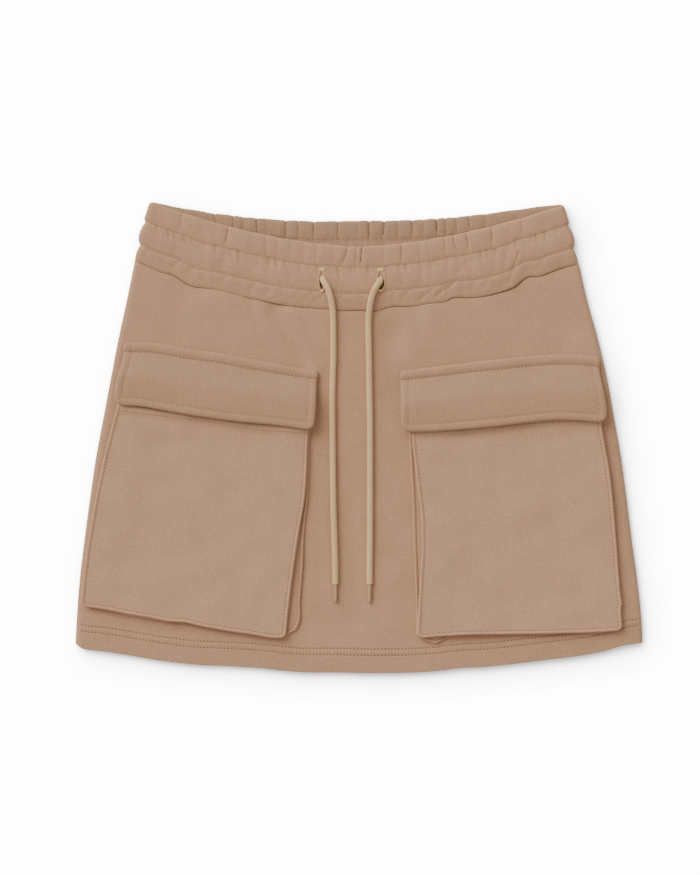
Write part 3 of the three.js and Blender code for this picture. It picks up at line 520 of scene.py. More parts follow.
def curve(knots, values, at):
    """Smooth curve that meets each value at its knot: a cubic between two knots.

    A knot's slope is that of the line between the knots on either side.
    """
    before = np.r_[0, np.arange(len(knots) - 1)]
    after = np.r_[np.arange(1, len(knots)), len(knots) - 1]
    steps = knots[after] - knots[before]
    i = np.clip(np.searchsorted(knots, at, side="right") - 1, 0, len(knots) - 2)
    span = knots[i + 1] - knots[i]
    t = np.clip((at - knots[i]) / span, 0, 1)
    if values.ndim > 1:
        steps, span, t = steps[:, None], span[..., None], t[..., None]
    slopes = (values[after] - values[before]) / steps
    rise = t * t * (3 - 2 * t)
    leave = t * (1 - t) ** 2 * span * slopes[i]
    arrive = t * t * (t - 1) * span * slopes[i + 1]
    return values[i] + (values[i + 1] - values[i]) * rise + leave + arrive


def smooth(rows, along, key, at):
    """A table's column as a smooth curve over another column that rises row by row."""
    return curve(rows[along], rows[key], at)


def spline(points, t):
    """Point at share t of the length of a smooth curve through the points."""
    points = np.asarray(points, float)
    legs = np.linalg.norm(np.diff(points, axis=0), axis=1)
    knots = np.r_[0, np.cumsum(legs)] / legs.sum()
    return curve(knots, points, np.asarray(t, float))


def patch(edges, f, v):
    """Place on the patch between four border curves, f across from the left and v down.

    It is the blend of top and bottom, plus the blend of left and right, less the blend of the
    four corners.
    """
    f, v = np.broadcast_arrays(np.asarray(f, float), np.asarray(v, float))
    top, bottom, left, right = (edges[key] for key in ("top", "bottom", "left", "right"))
    fs, vs = f[..., None], v[..., None]
    zero = np.zeros(1)
    corners = (
        top(zero)[0] * (1 - fs) * (1 - vs)
        + top(zero + 1)[0] * fs * (1 - vs)
        + bottom(zero)[0] * (1 - fs) * vs
        + bottom(zero + 1)[0] * fs * vs
    )
    return top(f) * (1 - vs) + bottom(f) * vs + left(v) * (1 - fs) + right(v) * fs - corners


def drawn_edges(borders):
    """The four border curves of a sewn-on piece, from its short lists of points."""
    return {key: (lambda t, points=points: spline(points, t)) for key, points in borders.items()}


def bell(distance, width):
    """Bell curve, 1 at no distance: e to the minus square of distance over width."""
    return np.exp(-((distance / width) ** 2))


def unit(vectors):
    """The same directions at a length of 1."""
    return vectors / np.linalg.norm(vectors, axis=-1, keepdims=True)


def ease(value, low, high):
    """0 below low, 1 above high, and a smooth step between."""
    t = np.clip((value - low) / (high - low), 0, 1)
    return t * t * (3 - 2 * t)


def round_over(distance, radius):
    """Drop of a rounded edge: a quarter circle within radius of the edge, nothing further in."""
    inside = np.clip(radius - distance, 0, radius)
    return radius - np.sqrt(radius**2 - inside**2)


def round_corners(f, v, width, length, radius, top=0.0):
    """Moves patch shares so that the corners are round.

    Within the radius of a corner a square of cloth becomes a quarter disc: each share from the
    centre is scaled by the root of one less half the other share's square.
    """

    def turn(u, w):
        u_in, w_in = np.clip(u, 0, 1), np.clip(w, 0, 1)
        both = (u > 0) & (w > 0)
        return (
            np.where(both, u_in * np.sqrt(1 - w_in**2 / 2), u),
            np.where(both, w_in * np.sqrt(1 - u_in**2 / 2), w),
        )

    for flip_f, flip_v, r in ((0, 1, radius), (1, 1, radius), (0, 0, top), (1, 0, top)):
        if r == 0:
            continue
        a = (1 - f if flip_f else f) * width
        b = (1 - v if flip_v else v) * length
        u, w = turn(1 - a / r, 1 - b / r)
        a, b = (1 - u) * r, (1 - w) * r
        f = 1 - a / width if flip_f else a / width
        v = 1 - b / length if flip_v else b / length
    return f, v


def unevenness(x, y, height=1.0):
    """Low soft unevenness of cloth that has been worn and laid down: a sum of long crossing waves."""
    waves = table(
        "length turn height phase",
        (71, 20, 0.30, 0.4),
        (53, 112, 0.26, 2.1),
        (39, 64, 0.18, 4.0),
        (31, 151, 0.14, 1.2),
        (23, 85, 0.09, 5.1),
        (17, 35, 0.06, 3.3),
    )
    total = 0.0
    for length, turn, size, phase in zip(*waves.values()):
        along = x * math.cos(math.radians(turn)) + y * math.sin(math.radians(turn))
        total = total + size * np.sin(2 * np.pi * along / length + phase)
    return height * total


def hem_line(x):
    """The hem's edge: a parabola, lowest in the middle."""
    return HEM_RISE * (2 * x / HEM_WIDTH) ** 2 - HEM_DROP + smooth(HEM_WANDER, "x", "shift", x)


def front_seam(x):
    """The front waist seam: a parabola that strays where the gathers pull it."""
    return SEAM_MIDDLE + SEAM_RISE * (x / SEAM_LEFT) ** 2 + smooth(SEAM_WANDER, "x", "shift", x)


def back_seam(x):
    """The back waist seam, which meets the front one at both sides."""
    share = (x - SEAM_LEFT) / (SEAM_RIGHT - SEAM_LEFT)
    ends = front_seam(SEAM_LEFT) * (1 - share) + front_seam(SEAM_RIGHT) * share
    return BACK_SEAM_MIDDLE + (ends - BACK_SEAM_MIDDLE) * (2 * share - 1) ** 2


def fold_height(folds, x, y):
    """Soft folds: each adds its height times the bell curve of the distance from its line."""
    total = 0.0
    for from_x, from_y, to_x, to_y, width, height in zip(*folds.values()):
        along_x, along_y = to_x - from_x, to_y - from_y
        share = ((x - from_x) * along_x + (y - from_y) * along_y) / (along_x**2 + along_y**2)
        t = np.clip(share, 0, 1)
        distance = np.hypot(x - from_x - along_x * t, y - from_y - along_y * t)
        total = total + height * bell(distance, width)
    return total


def front_base(x, y):
    """Height of the front panel's face, without stitching: what lies on the panel follows it."""
    groove = 0.5 * bell(front_seam(x) - y, 4)
    return FRONT_TOP - groove + fold_height(FOLDS, x, y)


def front_height(x, y):
    """The front panel's face: the waist seam's groove, the hem's two stitched ones and its soft step."""
    above = y - hem_line(x)
    rows = sum(0.4 * bell(above - row, 0.8) for row in HEM_ROWS)
    step = 0.25 * (1 - ease(above, HEM_DEPTH - 1.5, HEM_DEPTH + 2))
    between = 0.15 * bell(above - sum(HEM_ROWS) / 2, 1.6)
    fall = 1.0 * (1 - ease(above, -6, 20))
    seam = 0.85 * bell(front_seam(x) - y, 0.65)
    return front_base(x, y) + step + between - fall - rows - seam + unevenness(x, y, 0.45)


# Meshes


def places(length, step, *marks):
    """Places from 0 to length about a step apart, with closer ones round each mark (place, reach, step)."""
    cuts = [np.linspace(0, length, max(2, round(length / step) + 1))]
    for place, reach, fine in marks:
        near = np.arange(place - reach, place + reach + fine / 2, fine)
        cuts = [cut[(cut <= place - reach - fine / 2) | (cut >= place + reach + fine / 2)] for cut in cuts]
        cuts.append(near[(near >= 0) & (near <= length)])
    merged = np.unique(np.round(np.concatenate(cuts + [np.array([0.0, length])]), 4))
    keep = np.r_[True, np.diff(merged) > 0.12]
    return merged[keep]


def add_mesh(name, points, quads, material, uv=None, nodes=(), sharp=60):
    """One closed piece from its points in millimetres and its four-sided faces."""
    mesh = bpy.data.meshes.new(name)
    mesh.vertices.add(len(points))
    mesh.vertices.foreach_set("co", (np.asarray(points) * MM).astype(np.float32).ravel())
    mesh.loops.add(quads.size)
    mesh.loops.foreach_set("vertex_index", quads.astype(np.int32).ravel())
    mesh.polygons.add(len(quads))
    mesh.polygons.foreach_set("loop_start", np.arange(0, quads.size, quads.shape[1], dtype=np.int32))
    mesh.update(calc_edges=True)
    mesh.polygons.foreach_set("use_smooth", np.ones(len(quads), bool))
    if uv is not None:
        layer = mesh.uv_layers.new(name="Weave")
        layer.data.foreach_set("uv", uv[quads.ravel()].astype(np.float32).ravel())
    mesh.set_sharp_from_angle(angle=math.radians(sharp))
    mesh.validate()
    mesh.materials.append(material)
    piece = bpy.data.objects.new(name, mesh)
    bpy.context.scene.collection.objects.link(piece)
    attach(piece, "root")
    if nodes:
        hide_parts(*nodes)
    return piece


def grid_lengths(points):
    """Surface coordinates of a grid of points: the length along its middle row and column."""
    rows, columns = points.shape[:2]
    across = np.linalg.norm(np.diff(points[rows // 2], axis=0), axis=1)
    down = np.linalg.norm(np.diff(points[:, columns // 2], axis=0), axis=1)
    u, v = np.meshgrid(np.r_[0, np.cumsum(across)], np.r_[0, np.cumsum(down)])
    return np.stack([u, -v], axis=-1)


def facing_out(points, faces):
    """The faces of a closed form, turned round where they make its volume negative."""
    a, b, c, d = (points[faces[:, i]] for i in range(4))
    volume = np.einsum("ij,ij->", a, np.cross(b, c) + np.cross(c, d))
    return faces[:, ::-1] if volume < 0 else faces


def add_wall(name, outer, inner, material, nodes=()):
    """A cloth wall between two grids of points, closed along its four edges."""
    rows, columns = outer.shape[:2]
    out = np.arange(rows * columns).reshape(rows, columns)
    inn = out + rows * columns

    def quads(a, b, c, d):
        return np.stack([a.ravel(), b.ravel(), c.ravel(), d.ravel()], axis=1)

    faces = np.concatenate([
        quads(out[:-1, :-1], out[1:, :-1], out[1:, 1:], out[:-1, 1:]),
        quads(inn[:-1, :-1], inn[:-1, 1:], inn[1:, 1:], inn[1:, :-1]),
        quads(out[:-1, 0], inn[:-1, 0], inn[1:, 0], out[1:, 0]),
        quads(out[:-1, -1], out[1:, -1], inn[1:, -1], inn[:-1, -1]),
        quads(out[0, :-1], out[0, 1:], inn[0, 1:], inn[0, :-1]),
        quads(out[-1, :-1], inn[-1, :-1], inn[-1, 1:], out[-1, 1:]),
    ])
    points = np.concatenate([outer.reshape(-1, 3), inner.reshape(-1, 3)])
    lengths = grid_lengths(outer).reshape(-1, 2) * MM
    uv = np.concatenate([lengths, lengths])
    return add_mesh(name, points, facing_out(points, faces), material, uv, nodes)


def add_strip(name, sections, material, uv, nodes=()):
    """A closed strip through sections (stations, points, 3), its ends closed by fans of quads."""
    stations, count = sections.shape[:2]
    index = np.arange(stations * count).reshape(stations, count)
    around = np.roll(index, -1, axis=1)
    sides = np.stack([index[:-1], around[:-1], around[1:], index[1:]], axis=-1).reshape(-1, 4)
    half = count // 2
    pairs = np.arange(half - 1)
    cap = np.stack([pairs, pairs + 1, count - 2 - pairs, count - 1 - pairs], axis=1)
    ends = [index[0][cap][:, ::-1], index[-1][cap]]
    faces = np.concatenate([sides, *ends])
    points = sections.reshape(-1, 3)
    return add_mesh(name, points, facing_out(points, faces), material, uv.reshape(-1, 2), nodes)


def stack(xy, z):
    """Points from places seen from above and their heights."""
    return np.concatenate([xy, np.broadcast_to(z, xy.shape[:-1])[..., None]], axis=-1)


def lifted(xy, lip, height, lift):
    """Points of a wall's face: at the side seam's lip where lift is 0, at their height where it is 1."""
    return stack(xy, lip + (height - lip) * lift)


def even_steps(path, step):
    """Points a step apart along a path, and the path's direction at each."""
    legs = np.linalg.norm(np.diff(path, axis=0), axis=1)
    run = np.r_[0, np.cumsum(legs)]
    count = max(2, int(run[-1] / step) + 1)
    at = np.linspace(0, run[-1], count)
    points = np.stack([np.interp(at, run, path[:, i]) for i in range(3)], axis=1)
    return points, unit(np.gradient(points, axis=0))


# Materials


def new_group(name, inputs, outputs):
    """An empty shader node group with named sockets, and its input and output nodes."""
    group = bpy.data.node_groups.new(name, "ShaderNodeTree")
    for label, kind, value in inputs:
        socket = group.interface.new_socket(label, in_out="INPUT", socket_type=kind)
        if value is not None:
            socket.default_value = value
    for label, kind in outputs:
        group.interface.new_socket(label, in_out="OUTPUT", socket_type=kind)
    return group, group.nodes.new("NodeGroupInput"), group.nodes.new("NodeGroupOutput")


def math_node(tree, operation, *values):
    """A math node whose inputs are sockets or plain numbers."""
    node = tree.nodes.new("ShaderNodeMath")
    node.operation = operation
    for socket, value in zip(node.inputs, values):
        if isinstance(value, (int, float)):
            socket.default_value = value
        else:
            tree.links.new(value, socket)
    return node.outputs[0]


def noise_node(tree, vector, scale, detail=2.0, roughness=0.5):
    node = tree.nodes.new("ShaderNodeTexNoise")
    node.inputs["Scale"].default_value = scale
    node.inputs["Detail"].default_value = detail
    node.inputs["Roughness"].default_value = roughness
    tree.links.new(vector, node.inputs["Vector"])
    return node.outputs["Fac"]


def scaled(tree, vector, x, y, turn=0.0):
    """Surface coordinates turned about Z and then scaled, for patterns longer one way."""
    node = tree.nodes.new("ShaderNodeMapping")
    node.vector_type = "TEXTURE"
    node.inputs["Scale"].default_value = (1 / x, 1 / y, 1)
    node.inputs["Rotation"].default_value = (0, 0, turn)
    tree.links.new(vector, node.inputs["Vector"])
    return node.outputs["Vector"]


def knit_group():
    """Face of a fine knit: columns of V-shaped loops, a slanting drag in the yarn, and fuzz.

    Height is the loops' and yarn's relief from 0 to 1. Shade is a factor round 1 for the colour, lower where
    the relief is low: painted shade in the knit's grooves, with the yarn's random tone from the drag and
    fuzz.
    """
    group, given, made = new_group(
        "Knit face",
        [("Surface", "NodeSocketVector", None), ("Loop", "NodeSocketFloat", 0.0011)],
        [("Height", "NodeSocketFloat"), ("Shade", "NodeSocketFloat")],
    )
    surface = given.outputs["Surface"]
    split = group.nodes.new("ShaderNodeSeparateXYZ")
    group.links.new(surface, split.inputs[0])
    across = math_node(group, "DIVIDE", split.outputs[0], given.outputs["Loop"])
    wander = noise_node(group, surface, 900, 1.0)
    column = math_node(group, "ADD", across, math_node(group, "MULTIPLY", wander, 0.5))
    fold = math_node(group, "PINGPONG", column, 0.5)
    loop_length = math_node(group, "MULTIPLY", given.outputs["Loop"], 0.8)
    along = math_node(group, "DIVIDE", split.outputs[1], loop_length)
    rows = math_node(group, "ADD", along, math_node(group, "MULTIPLY", fold, 1.4))
    wave = math_node(group, "SINE", math_node(group, "MULTIPLY", rows, 2 * math.pi))
    loops = math_node(group, "MULTIPLY_ADD", wave, 0.25, 0.5)
    groove = math_node(group, "MULTIPLY", fold, 0.7)
    knit = math_node(group, "ADD", loops, groove)
    drag = noise_node(group, scaled(group, surface, 420, 1400, math.radians(35)), 1.0, 2.0, 0.5)
    fuzz = noise_node(group, surface, 1500, 3.0, 0.7)
    knit_part = math_node(group, "MULTIPLY", knit, 0.3)
    blend = math_node(group, "ADD", knit_part, math_node(group, "MULTIPLY", drag, 0.5))
    height = math_node(group, "ADD", blend, math_node(group, "MULTIPLY", fuzz, 0.5))
    group.links.new(height, made.inputs["Height"])
    # Darker where the relief is low: painted shade between the loops
    spread = math_node(group, "SUBTRACT", height, 0.85)
    shade = math_node(group, "MULTIPLY_ADD", spread, 0.16, 1.0)
    group.links.new(shade, made.inputs["Shade"])
    return group


def mottle_group():
    """Soft mottling of dyed yarn, as a factor round 1."""
    group, given, made = new_group(
        "Dye mottling",
        [("Surface", "NodeSocketVector", None), ("Strength", "NodeSocketFloat", 0.05)],
        [("Shade", "NodeSocketFloat")],
    )
    surface = given.outputs["Surface"]
    clouds = noise_node(group, surface, 28, 3.0, 0.6)
    specks = noise_node(group, surface, 260, 2.0, 0.5)
    both = math_node(group, "ADD", clouds, math_node(group, "MULTIPLY", specks, 0.8))
    centred = math_node(group, "SUBTRACT", both, 0.9)
    shade = math_node(group, "MULTIPLY_ADD", centred, given.outputs["Strength"], 1.0)
    group.links.new(shade, made.inputs["Shade"])
    return group


def heather_group():
    """Heathered yarn: slanting streaks, small specks and soft clouds.

    Shade is a factor round 1 for brightness, and Warmth a mask from 0 to 1 between two tints.
    """
    group, given, made = new_group(
        "Heathered yarn",
        [("Surface", "NodeSocketVector", None), ("Strength", "NodeSocketFloat", 0.5)],
        [("Shade", "NodeSocketFloat"), ("Warmth", "NodeSocketFloat")],
    )
    surface = given.outputs["Surface"]
    streaks = noise_node(group, scaled(group, surface, 240, 760, math.radians(34)), 1.0, 2.0, 0.5)
    specks = noise_node(group, surface, 620, 2.0, 0.6)
    clouds = noise_node(group, surface, 45, 3.0, 0.6)
    both = math_node(group, "MULTIPLY", math_node(group, "ADD", streaks, specks), 0.6)
    all_three = math_node(group, "ADD", both, math_node(group, "MULTIPLY", clouds, 0.3))
    centred = math_node(group, "SUBTRACT", all_three, 0.75)
    shade = math_node(group, "MULTIPLY_ADD", centred, given.outputs["Strength"], 1.0)
    group.links.new(shade, made.inputs["Shade"])
    blotches = noise_node(group, scaled(group, surface, 300, 420), 1.0, 3.0, 0.6)
    spread = math_node(group, "MULTIPLY_ADD", blotches, 2.4, -0.7)
    group.links.new(spread, made.inputs["Warmth"])
    return group


def mixed(tree, share, one, other):
    """Mix of two colours by a share from 0 to 1."""
    node = tree.nodes.new("ShaderNodeMix")
    node.data_type = "RGBA"
    for socket in node.inputs:
        if socket.identifier == "A_Color":
            socket.default_value = (*one, 1)
        if socket.identifier == "B_Color":
            socket.default_value = (*other, 1)
        if socket.identifier == "Factor_Float":
            tree.links.new(share, socket)
    return next(socket for socket in node.outputs if socket.identifier == "Result_Color")


def use_group(tree, group, surface, **values):
    node = tree.nodes.new("ShaderNodeGroup")
    node.node_tree = group
    tree.links.new(surface, node.inputs["Surface"])
    for label, value in values.items():
        node.inputs[label].default_value = value
    return node


def mottled(tree, strength):
    """The dye mottling's shade, on the piece's own coordinates."""
    place = tree.nodes.new("ShaderNodeTexCoord").outputs["Object"]
    group = use_group(tree, shared("Dye mottling", mottle_group), place, Strength=strength)
    return group.outputs["Shade"]


def shaded_colour(tree, colour, *shades):
    """A plain colour times each shade."""
    product = shades[0]
    for shade in shades[1:]:
        product = math_node(tree, "MULTIPLY", product, shade)
    node = tree.nodes.new("ShaderNodeVectorMath")
    node.operation = "SCALE"
    if isinstance(colour, bpy.types.NodeSocket):
        tree.links.new(colour, node.inputs[0])
    else:
        node.inputs[0].default_value = colour
    tree.links.new(product, node.inputs["Scale"])
    return node.outputs[0]


def plain_material(name, roughness, sheen=0.0):
    material = bpy.data.materials.new(name)
    material.use_nodes = True
    shader = material.node_tree.nodes["Principled BSDF"]
    shader.inputs["Roughness"].default_value = roughness
    shader.inputs["Specular IOR Level"].default_value = 0.25
    shader.inputs["Sheen Weight"].default_value = sheen
    shader.inputs["Sheen Roughness"].default_value = 0.6
    return material, material.node_tree, shader


def bump(tree, shader, height, distance, strength):
    node = tree.nodes.new("ShaderNodeBump")
    node.inputs["Distance"].default_value = distance
    node.inputs["Strength"].default_value = strength
    tree.links.new(height, node.inputs["Height"])
    tree.links.new(node.outputs["Normal"], shader.inputs["Normal"])


def shared(name, make):
    """A node group or material that is made once and then found by its name."""
    found = bpy.data.node_groups.get(name) or bpy.data.materials.get(name)
    return found or make()


def cloth_material(name="Sweat cloth", colour=None):
    """Sweat cloth whose face is a fine knit of heathered yarn."""

    def make():
        material, tree, shader = plain_material(name, 0.95, 0.12)
        surface = tree.nodes.new("ShaderNodeUVMap")
        surface.uv_map = "Weave"
        weave = surface.outputs["UV"]
        knit = use_group(tree, shared("Knit face", knit_group), weave, Loop=0.0011)
        heather = use_group(tree, shared("Heathered yarn", heather_group), weave, Strength=0.6)
        red, green, blue = colour or colours().cloth
        warm, cool = (red * 1.05, green * 0.985, blue * 0.96), (red * 0.95, green * 1.015, blue * 1.04)
        tint = mixed(tree, heather.outputs["Warmth"], cool, warm)
        tone = shaded_colour(tree, tint, knit.outputs["Shade"], heather.outputs["Shade"])
        tree.links.new(tone, shader.inputs["Base Color"])
        bump(tree, shader, knit.outputs["Height"], 0.0002, 0.5)
        return material

    return shared(name, make)


def cord_material():
    """Braided cotton: two sets of slanting ribs that cross, on the cord's own coordinates."""

    def make():
        material, tree, shader = plain_material("Braided cord", 0.85, 0.1)
        surface = tree.nodes.new("ShaderNodeUVMap")
        surface.uv_map = "Weave"
        split = tree.nodes.new("ShaderNodeSeparateXYZ")
        tree.links.new(surface.outputs["UV"], split.inputs[0])
        around = math_node(tree, "MULTIPLY", split.outputs[0], 2 * math.pi * 8)
        along = math_node(tree, "MULTIPLY", split.outputs[1], 2 * math.pi / 0.0016)
        one = math_node(tree, "SINE", math_node(tree, "ADD", around, along))
        other = math_node(tree, "SINE", math_node(tree, "SUBTRACT", around, along))
        ribs = math_node(tree, "MAXIMUM", one, other)
        # Darker between the ribs: painted shade in the braid's grooves
        rib_groove_shade = math_node(tree, "MULTIPLY_ADD", ribs, 0.06, 0.97)
        colour = shaded_colour(tree, colours().cord, rib_groove_shade, mottled(tree, 0.12))
        tree.links.new(colour, shader.inputs["Base Color"])
        bump(tree, shader, ribs, 0.0002, 0.6)
        return material

    return shared("Braided cord", make)


def thread_and_shadow_material(name, colour, factor):
    """Sewing thread, a little lighter or darker than what it is sewn on, and the painted shadow of the
    needle holes, much darker.
    """

    def make():
        material, tree, shader = plain_material(name, 0.6)
        tint = tuple(channel * factor for channel in colour)
        tree.links.new(shaded_colour(tree, tint, mottled(tree, 0.2)), shader.inputs["Base Color"])
        return material

    return shared(name, make)


# Operators


class SKIRT_OT_stage(bpy.types.Operator):
    """Lay the pale floor and set the camera above and the soft lights"""

    bl_idname = "skirt.stage"
    bl_label = "Stage"

    def execute(self, context):
        camera_data = bpy.data.cameras.new("camera")
        camera_data.lens = CAMERA_LENS
        camera_data.sensor_width = CAMERA_SENSOR
        camera = bpy.data.objects.new("camera", camera_data)
        camera.location = (CAMERA_ASIDE * MM, 0.0, sizes().camera_height)
        context.scene.collection.objects.link(camera)
        context.scene.camera = camera

        self.lay_floor(context)
        self.hang_softboxes(context)
        world = bpy.data.worlds.new("Studio air")
        world.use_nodes = True
        air = world.node_tree.nodes["Background"]
        air.inputs["Color"].default_value = (1, 1, 1, 1)
        air.inputs["Strength"].default_value = AIR_LIGHT
        context.scene.world = world
        return {"FINISHED"}

    def lay_floor(self, context):
        reach = 4.0
        mesh = bpy.data.meshes.new("floor")
        corners = [(-reach, -reach, 0), (reach, -reach, 0), (reach, reach, 0), (-reach, reach, 0)]
        mesh.from_pydata([(x, y, -0.2 * MM) for x, y, z in corners], [], [(0, 1, 2, 3)])
        floor = bpy.data.objects.new("floor", mesh)
        mesh.materials.append(self.floor_material())
        context.scene.collection.objects.link(floor)

    def floor_material(self):
        """White to the skirt, and burnt out to the camera as a lit white studio table is.

        Where the skirt stands between the floor and the softboxes, an ambient occlusion mask darkens the
        burnt-out white: a painted shadow over the real one.
        """
        material = bpy.data.materials.new("Studio floor")
        material.use_nodes = True
        tree = material.node_tree
        tree.nodes.remove(tree.nodes["Principled BSDF"])
        seen = tree.nodes.new("ShaderNodeLightPath").outputs["Is Camera Ray"]
        # Painted shadow: occlusion looking towards the softboxes darkens the floor's white beside the skirt
        open_sky = tree.nodes.new("ShaderNodeAmbientOcclusion")
        open_sky.inputs["Distance"].default_value = PAINTED_SHADOW_REACH
        side = tree.nodes.new("ShaderNodeCombineXYZ")
        for socket, value in zip(side.inputs, PAINTED_SHADOW_SIDE):
            socket.default_value = value
        tree.links.new(side.outputs[0], open_sky.inputs["Normal"])
        # lit is the share of the white that the painted shadow leaves
        lit = math_node(tree, "POWER", open_sky.outputs["AO"], PAINTED_SHADOW_DEPTH)
        burnt_out = math_node(tree, "MULTIPLY", seen, lit)
        white = math_node(tree, "MULTIPLY_ADD", burnt_out, FLOOR_SEEN - FLOOR_LIT, FLOOR_LIT)
        tint = tree.nodes.new("ShaderNodeVectorMath")
        tint.operation = "SCALE"
        tint.inputs[0].default_value = colours().floor
        tree.links.new(white, tint.inputs["Scale"])
        diffuse = tree.nodes.new("ShaderNodeBsdfDiffuse")
        tree.links.new(tint.outputs[0], diffuse.inputs["Color"])
        tree.links.new(diffuse.outputs[0], tree.nodes["Material Output"].inputs["Surface"])
        return material

    def hang_softboxes(self, context):
        """Two broad soft lights from the upper left, one above the other."""
        for name, (place, width, strength) in SOFTBOXES.items():
            light = bpy.data.lights.new(name, "SUN")
            light.angle = math.radians(width)
            light.energy = strength
            lamp = bpy.data.objects.new(name, light)
            x, y, z = place
            lamp.location = place
            lamp.rotation_euler = (math.atan2(math.hypot(x, y), z), 0, math.atan2(x, -y))
            context.scene.collection.objects.link(lamp)


def cord_rings(path, width, tall, sides=20):
    """A tube's points: at each point of the path an ellipse, width across and tall upwards.

    The ellipse stands square to the path: its width lies level and its height is the rest.
    """
    points, direction = even_steps(path, CORD_STEP)
    level = unit(np.cross(direction, [0, 0, 1]))
    upright = np.cross(level, direction)
    turn = np.linspace(0, 2 * np.pi, sides, endpoint=False)
    across = np.cos(turn)[None, :, None] * level[:, None] * width / 2
    rise = np.sin(turn)[None, :, None] * upright[:, None] * tall / 2
    return points, points[:, None] + across + rise


class SKIRT_OT_drawcords(bpy.types.Operator):
    """Lay the drawcord's two free ends with their tips"""

    bl_idname = "skirt.drawcords"
    bl_label = "Drawcord"

    def execute(self, context):
        width = sizes().cord_width / MM
        tip_look = self.tip_material()
        for side, route in CORD_ROUTES.items():
            route = np.array(route)
            path = spline(route, np.linspace(0, 1, 500))
            tip = self.add_tip(side, path, tip_look)
            run = np.r_[0, np.cumsum(np.linalg.norm(np.diff(path, axis=0), axis=1))]
            dive = 3.2 * (1 - ease(run, 0.5, 8))
            path[:, 2] -= (ROUTE_TALL - CORD_TALL) / 2 + dive
            points, rings = cord_rings(path, width, CORD_TALL)
            stations, sides = rings.shape[:2]
            u, v = np.meshgrid(np.arange(sides) / sides, np.arange(stations) * CORD_STEP * MM)
            uv = np.stack([u, v], axis=-1)
            cord = add_strip(
                f"cord_{side}", rings, cord_material(), uv, [f"drawcord_{side}"]
            )
            legs = np.linalg.norm(np.diff(points, axis=0), axis=1)
        return {"FINISHED"}

    def tip_material(self):
        material, tree, shader = plain_material("Cord tip", 0.45)
        colour = shaded_colour(tree, colours().tip, mottled(tree, 0.1))
        tree.links.new(colour, shader.inputs["Base Color"])
        return material

    def add_tip(self, side, path, look):
        """A slim sleeve turned about the cord's line, with rolled ends."""
        end = path[-1]
        direction = unit(end - path[-8])
        direction[2] = -0.8 / TIP_LENGTH
        direction = unit(direction)
        sleeve = table(
            "along radius",
            (-0.6, 0.9),
            (0, 1.2),
            (0.5, 1.5),
            (1.2, 1.5),
            (TIP_LENGTH * 0.5, 1.5),
            (TIP_LENGTH - 1, 1.5),
            (TIP_LENGTH - 0.2, 1.3),
            (TIP_LENGTH, 0.9),
        )
        along, radius = sleeve["along"], sleeve["radius"]
        turn = np.linspace(0, 2 * np.pi, 20, endpoint=False)
        level = unit(np.cross(direction, [0, 0, 1]))
        upright = np.cross(level, direction)
        centre = end + direction * along[:, None]
        rings = (
            centre[:, None]
            + np.cos(turn)[None, :, None] * level * radius[:, None, None]
            + np.sin(turn)[None, :, None] * upright * radius[:, None, None]
        )
        u, v = np.meshgrid(turn, along * MM)
        return add_strip(
            f"tip_{side}", rings, look, np.stack([u, v], axis=-1), [f"cord_tip_{side}"]
        )


def rolled_columns(width, thickness, flat):
    """Shares across cloth that rolls over at both sides: outer, inner, and lift off the side seam.

    Over a roll the outer share follows a quarter circle, and the inner one a circle a wall inside.
    """
    roll = SIDE_ROLL / width
    inner_roll = (SIDE_ROLL - min(thickness, SIDE_ROLL - 1)) / width
    turn = np.radians(np.linspace(0, 90, 9))
    outer = roll * (1 - np.cos(turn))
    inner = roll - inner_roll * np.cos(turn)
    middle = flat[(flat > 1.3 * roll) & (flat < 1 - 1.3 * roll)]
    return (
        np.r_[outer, middle, 1 - outer[::-1]],
        np.r_[inner, middle, 1 - inner[::-1]],
        np.r_[np.sin(turn), np.ones(len(middle)), np.sin(turn)[::-1]],
    )


def panel_edges(seam):
    """Border curves of the front or back panel, down from the given waist seam to the hem."""

    def top(f):
        x = SEAM_LEFT + (SEAM_RIGHT - SEAM_LEFT) * f
        return np.stack([x, seam(x)], axis=-1)

    def bottom(f):
        x = HEM_WIDTH * (f - 0.5)
        return np.stack([x, hem_line(x)], axis=-1)

    def side(key, seam_x, hem_x):
        def line(v):
            start, end = seam(np.full(1, seam_x))[0], hem_line(np.full(1, hem_x))[0]
            y = start + (end - start) * v
            return np.stack([smooth(SIDE_ROWS, "y", key, y), y], axis=-1)

        return line

    return {
        "top": top,
        "bottom": bottom,
        "left": side("left", SEAM_LEFT, -HEM_WIDTH / 2),
        "right": side("right", SEAM_RIGHT, HEM_WIDTH / 2),
    }


